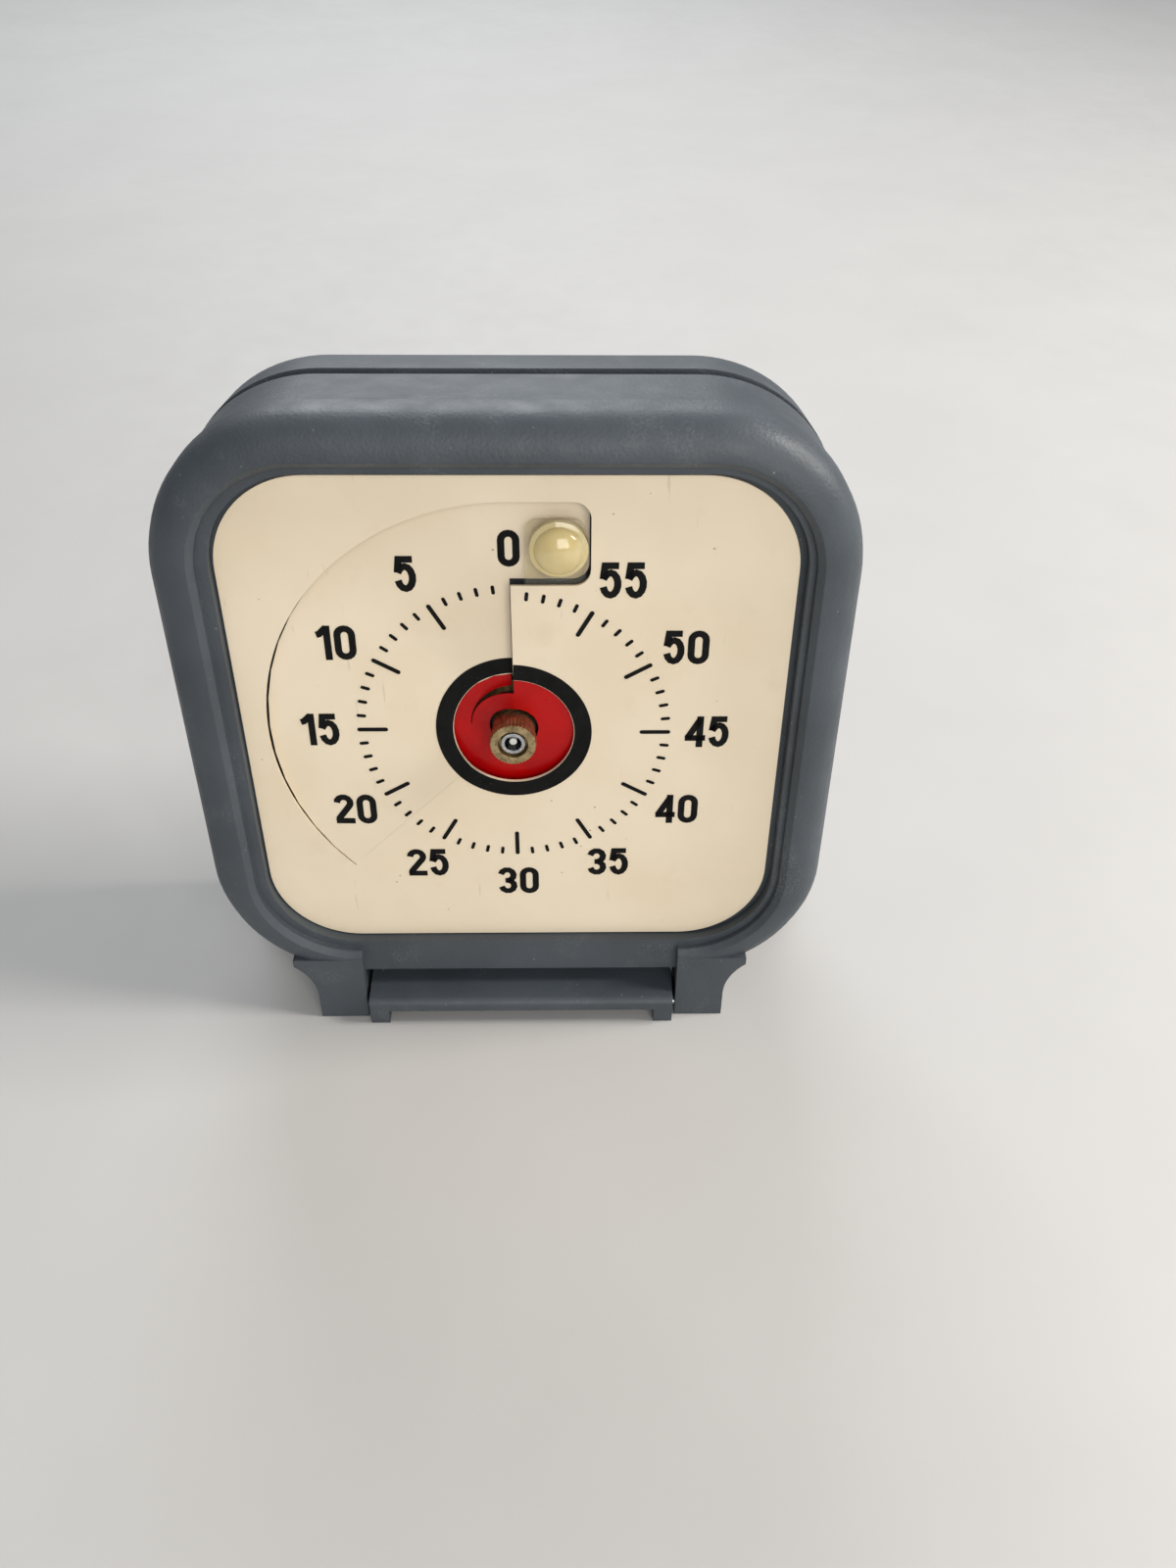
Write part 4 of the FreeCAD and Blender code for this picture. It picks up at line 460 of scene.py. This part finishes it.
def print_ring():
    """The black ring round the hole, stepped down where it crosses the flap."""
    strokes = []
    edge_angle = math.degrees(SLIT_WIDTH / RING_INNER)
    for start, end in ((0.0, FLAP_ANGLE), (FLAP_ANGLE, 360.0 - edge_angle)):
        count = math.ceil((end - start) / RING_STEP)
        angles = [start + (end - start) * index / count for index in range(count + 1)]
        strokes.append([(polar(RING_INNER, angle), polar(RING_OUTER, angle)) for angle in angles])
    print_strokes("print_ring", strokes)


def print_ticks():
    """A mark with round ends for each minute but the first, longer at each fifth."""
    strokes = []
    for minute in range(1, 60):
        major = minute % 5 == 0
        inner, width = (MAJOR_INNER, MAJOR_WIDTH) if major else (MINOR_INNER, MINOR_WIDTH)
        x, y = polar(1.0, 6 * minute)
        edges = []
        for end, way in ((inner, -1), (TICK_OUTER, 1)):
            for step in range(TICK_END_STEPS + 1):
                quarter = 90 * step / TICK_END_STEPS
                turn = math.radians(quarter if way > 0 else 90 - quarter)
                along = end + way * (math.sin(turn) - 1) * width / 2
                half = max(TICK_TIP, math.cos(turn)) * width / 2
                edges.append(((x * along + y * half, y * along - x * half),
                              (x * along - y * half, y * along + x * half)))
        strokes.append(edges)
    print_strokes("print_ticks", strokes)


def arc(x, y, reach_x, reach_y, start, end, steps=8):
    """Points round part of an ellipse, with angles from the right, anticlockwise."""
    turns = [math.radians(start + (end - start) * step / steps) for step in range(steps + 1)]
    return [(x + reach_x * math.cos(turn), y + reach_y * math.sin(turn)) for turn in turns]


def digit_strokes(digit):
    """Centre lines of a bold condensed digit, in a box whose lower left corner is the origin."""
    half = DIGIT_STROKE / 2
    right, top = DIGIT_WIDTH - half, DIGIT_HEIGHT - half
    middle, bowl = DIGIT_WIDTH / 2, (DIGIT_WIDTH - DIGIT_STROKE) / 2
    waist = 0.50 * DIGIT_HEIGHT
    if digit == "0":
        outline = arc(middle, top - bowl, bowl, bowl, 0, 180) + arc(middle, half + bowl, bowl, bowl, 180, 360)
        return [(outline, True)]
    if digit == "1":
        stem = ONE_WIDTH - half
        beak = [(0.05, 0.74 * DIGIT_HEIGHT), (0.45, 0.76 * DIGIT_HEIGHT), (stem, 0.95 * DIGIT_HEIGHT)]
        return [([(stem, 0), (stem, DIGIT_HEIGHT)], False), (beak, False)]
    if digit == "2":
        curl = arc(middle, top - bowl, bowl, bowl, 180, -35)
        slope = [(half + 0.15, half + 0.5), (half + 0.05, half)]
        return [(curl + slope, False), ([(half - 0.35, half), (DIGIT_WIDTH, half)], False)]
    if digit == "3":
        upper, lower = (top - waist) / 2, (waist - half) / 2
        high = arc(middle - 0.05, top - upper, bowl, upper, 170, -90)
        low = arc(middle, half + lower, bowl, lower, 90, -170)
        return [(high, False), (low, False), ([(middle - 0.35, waist), (middle + 0.1, waist)], False)]
    if digit == "4":
        stem, bar = 0.72 * DIGIT_WIDTH, 0.30 * DIGIT_HEIGHT
        return [([(stem, 0), (stem, DIGIT_HEIGHT)], False), ([(stem, top), (half * 0.8, bar)], False),
                ([(0.02, bar), (DIGIT_WIDTH, bar)], False)]
    lower = 0.32 * DIGIT_HEIGHT
    round_part = arc(middle, half + lower - 0.05, bowl, lower - 0.05, 140, -165, 12)
    return [([(right + 0.1, top), (half + 0.25, top), (half + 0.02, 0.54 * DIGIT_HEIGHT)], False),
            ([(half + 0.05, 0.53 * DIGIT_HEIGHT)] + round_part, False)]


def print_numerals():
    """Upright numbers round the dial, every five minutes, anticlockwise from the top."""
    strokes = []
    for minute in range(0, 60, 5):
        text = str(minute)
        widths = [ONE_WIDTH if digit == "1" else DIGIT_WIDTH for digit in text]
        x, y = polar(NUMERAL_RADIUS, 6 * minute)
        if minute == 55:
            x += NOTCH_SHIFT
        left = x - (sum(widths) + DIGIT_GAP * (len(text) - 1)) / 2
        low = y - DIGIT_HEIGHT / 2
        for digit, width in zip(text, widths):
            for path, closed in digit_strokes(digit):
                placed = [(left + px, low + py) for px, py in path]
                strokes.append(ribbon(placed, DIGIT_STROKE, closed))
            left += width + DIGIT_GAP
    print_strokes("print_numerals", strokes)


def add_knob():
    """A smooth clear dome on a rounded skirt, turned from one profile."""
    crown = KNOB_HEIGHT - KNOB_SIDE
    profile = [(0.0, 0.0), (KNOB_RADIUS, 0.0), (KNOB_RADIUS, KNOB_SIDE * 0.8),
               ((KNOB_RADIUS + KNOB_DOME) / 2, KNOB_SIDE * 0.95), (KNOB_DOME, KNOB_SIDE)]
    for step in range(1, DOME_STEPS):
        turn = math.radians(90 * step / DOME_STEPS)
        profile.append((KNOB_DOME * math.cos(turn), KNOB_SIDE + crown * math.sin(turn)))
    profile.append((0.0, KNOB_HEIGHT))
    points, faces = [], []
    for radius, height in profile:
        for index in range(KNOB_ROUNDS):
            turn = 2 * math.pi * index / KNOB_ROUNDS
            points.append(dial_point(KNOB_PLACE[0] + radius * math.cos(turn),
                                     KNOB_PLACE[1] + radius * math.sin(turn), KNOB_FOOT + height))
    for level in range(len(profile) - 1):
        for index in range(KNOB_ROUNDS):
            following = (index + 1) % KNOB_ROUNDS
            near, far = level * KNOB_ROUNDS, (level + 1) * KNOB_ROUNDS
            faces.append((near + index, near + following, far + following, far + index))
    knob = add_piece("knob_dome", points, faces, MATERIALS["knob_plastic"], "disc")
    smooth(knob)
    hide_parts("grip_knob")


# Stage

def add_floor():
    """A plain pale table top that reaches past the view on every side."""
    mesh = bpy.data.meshes.new("floor")
    ends = (-FLOOR_REACH, FLOOR_REACH)
    corners = [(ends[0], ends[0], 0), (ends[1], ends[0], 0), (ends[1], ends[1], 0), (ends[0], ends[1], 0)]
    mesh.from_pydata(corners, [], [(0, 1, 2, 3)])
    tree = Tree("floor")
    shade = tree.mixed(tree.ramp(tree.noise(40.0), 0.35, 0.65), (0.50, 0.49, 0.475), (0.515, 0.505, 0.49))
    tree.relief([(tree.noise(0.6), 0.01)])
    mesh.materials.append(tree.finish(shade, tree.ramp(tree.noise(9.0), 0.3, 0.7, 0.55, 0.68)))
    floor = bpy.data.objects.new("floor", mesh)
    bpy.context.scene.collection.objects.link(floor)
    floor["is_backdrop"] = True


def add_light(name, place, power, size, colour):
    data = bpy.data.lights.new(name, "AREA")
    data.energy = power
    data.size = size
    data.color = colour
    light = bpy.data.objects.new(name, data)
    light.location = place
    light.rotation_euler = (DIAL_CENTRE - Vector(place)).to_track_quat("-Z", "Y").to_euler()
    bpy.context.scene.collection.objects.link(light)


def add_lights():
    """A soft light from the right, a window behind, a wide one in front and a pale sky."""
    add_light("key", (0.60, -0.02, 0.50), 6.0, 0.25, (1.0, 0.96, 0.91))
    add_light("window", (-0.10, 0.75, 0.60), 4.5, 0.50, (0.94, 0.97, 1.0))
    add_light("front", (0.20, -0.80, 0.42), 4.0, 0.55, (1.0, 0.97, 0.93))
    world = bpy.data.worlds.new("sky")
    world.use_nodes = True
    background = world.node_tree.nodes["Background"]
    background.inputs["Color"].default_value = (0.82, 0.87, 0.93, 1.0)
    background.inputs["Strength"].default_value = 0.35
    bpy.context.scene.world = world


def add_camera():
    data = bpy.data.cameras.new("camera")
    data.sensor_fit = "VERTICAL"
    data.sensor_height = CAMERA_SENSOR
    data.lens = CAMERA_LENS
    data.clip_start = 0.01
    camera = bpy.data.objects.new("camera", data)
    right = dial_direction(*CAMERA_RIGHT).normalized()
    back = right.cross(-dial_direction(*CAMERA_DOWN)).normalized()
    turn = Matrix((right, back.cross(right), back)).transposed()
    camera.matrix_world = Matrix.Translation(dial_point(*CAMERA_PLACE)) @ turn.to_4x4()
    bpy.context.scene.collection.objects.link(camera)
    bpy.context.scene.camera = camera


def write_sizes():
    """The solids' box and the dressed model's box, each as its lowest and highest corner."""
    boxes = {"cad": cad_box, "visual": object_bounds()}
    boxes = {name: [list(corner) for corner in box] for name, box in boxes.items()}


add_camera()
add_floor()
add_lights()
dress_nodes()
print_ring()
print_ticks()
print_numerals()
add_knob()
bpy.context.scene.view_settings.view_transform = "Standard"
write_sizes()
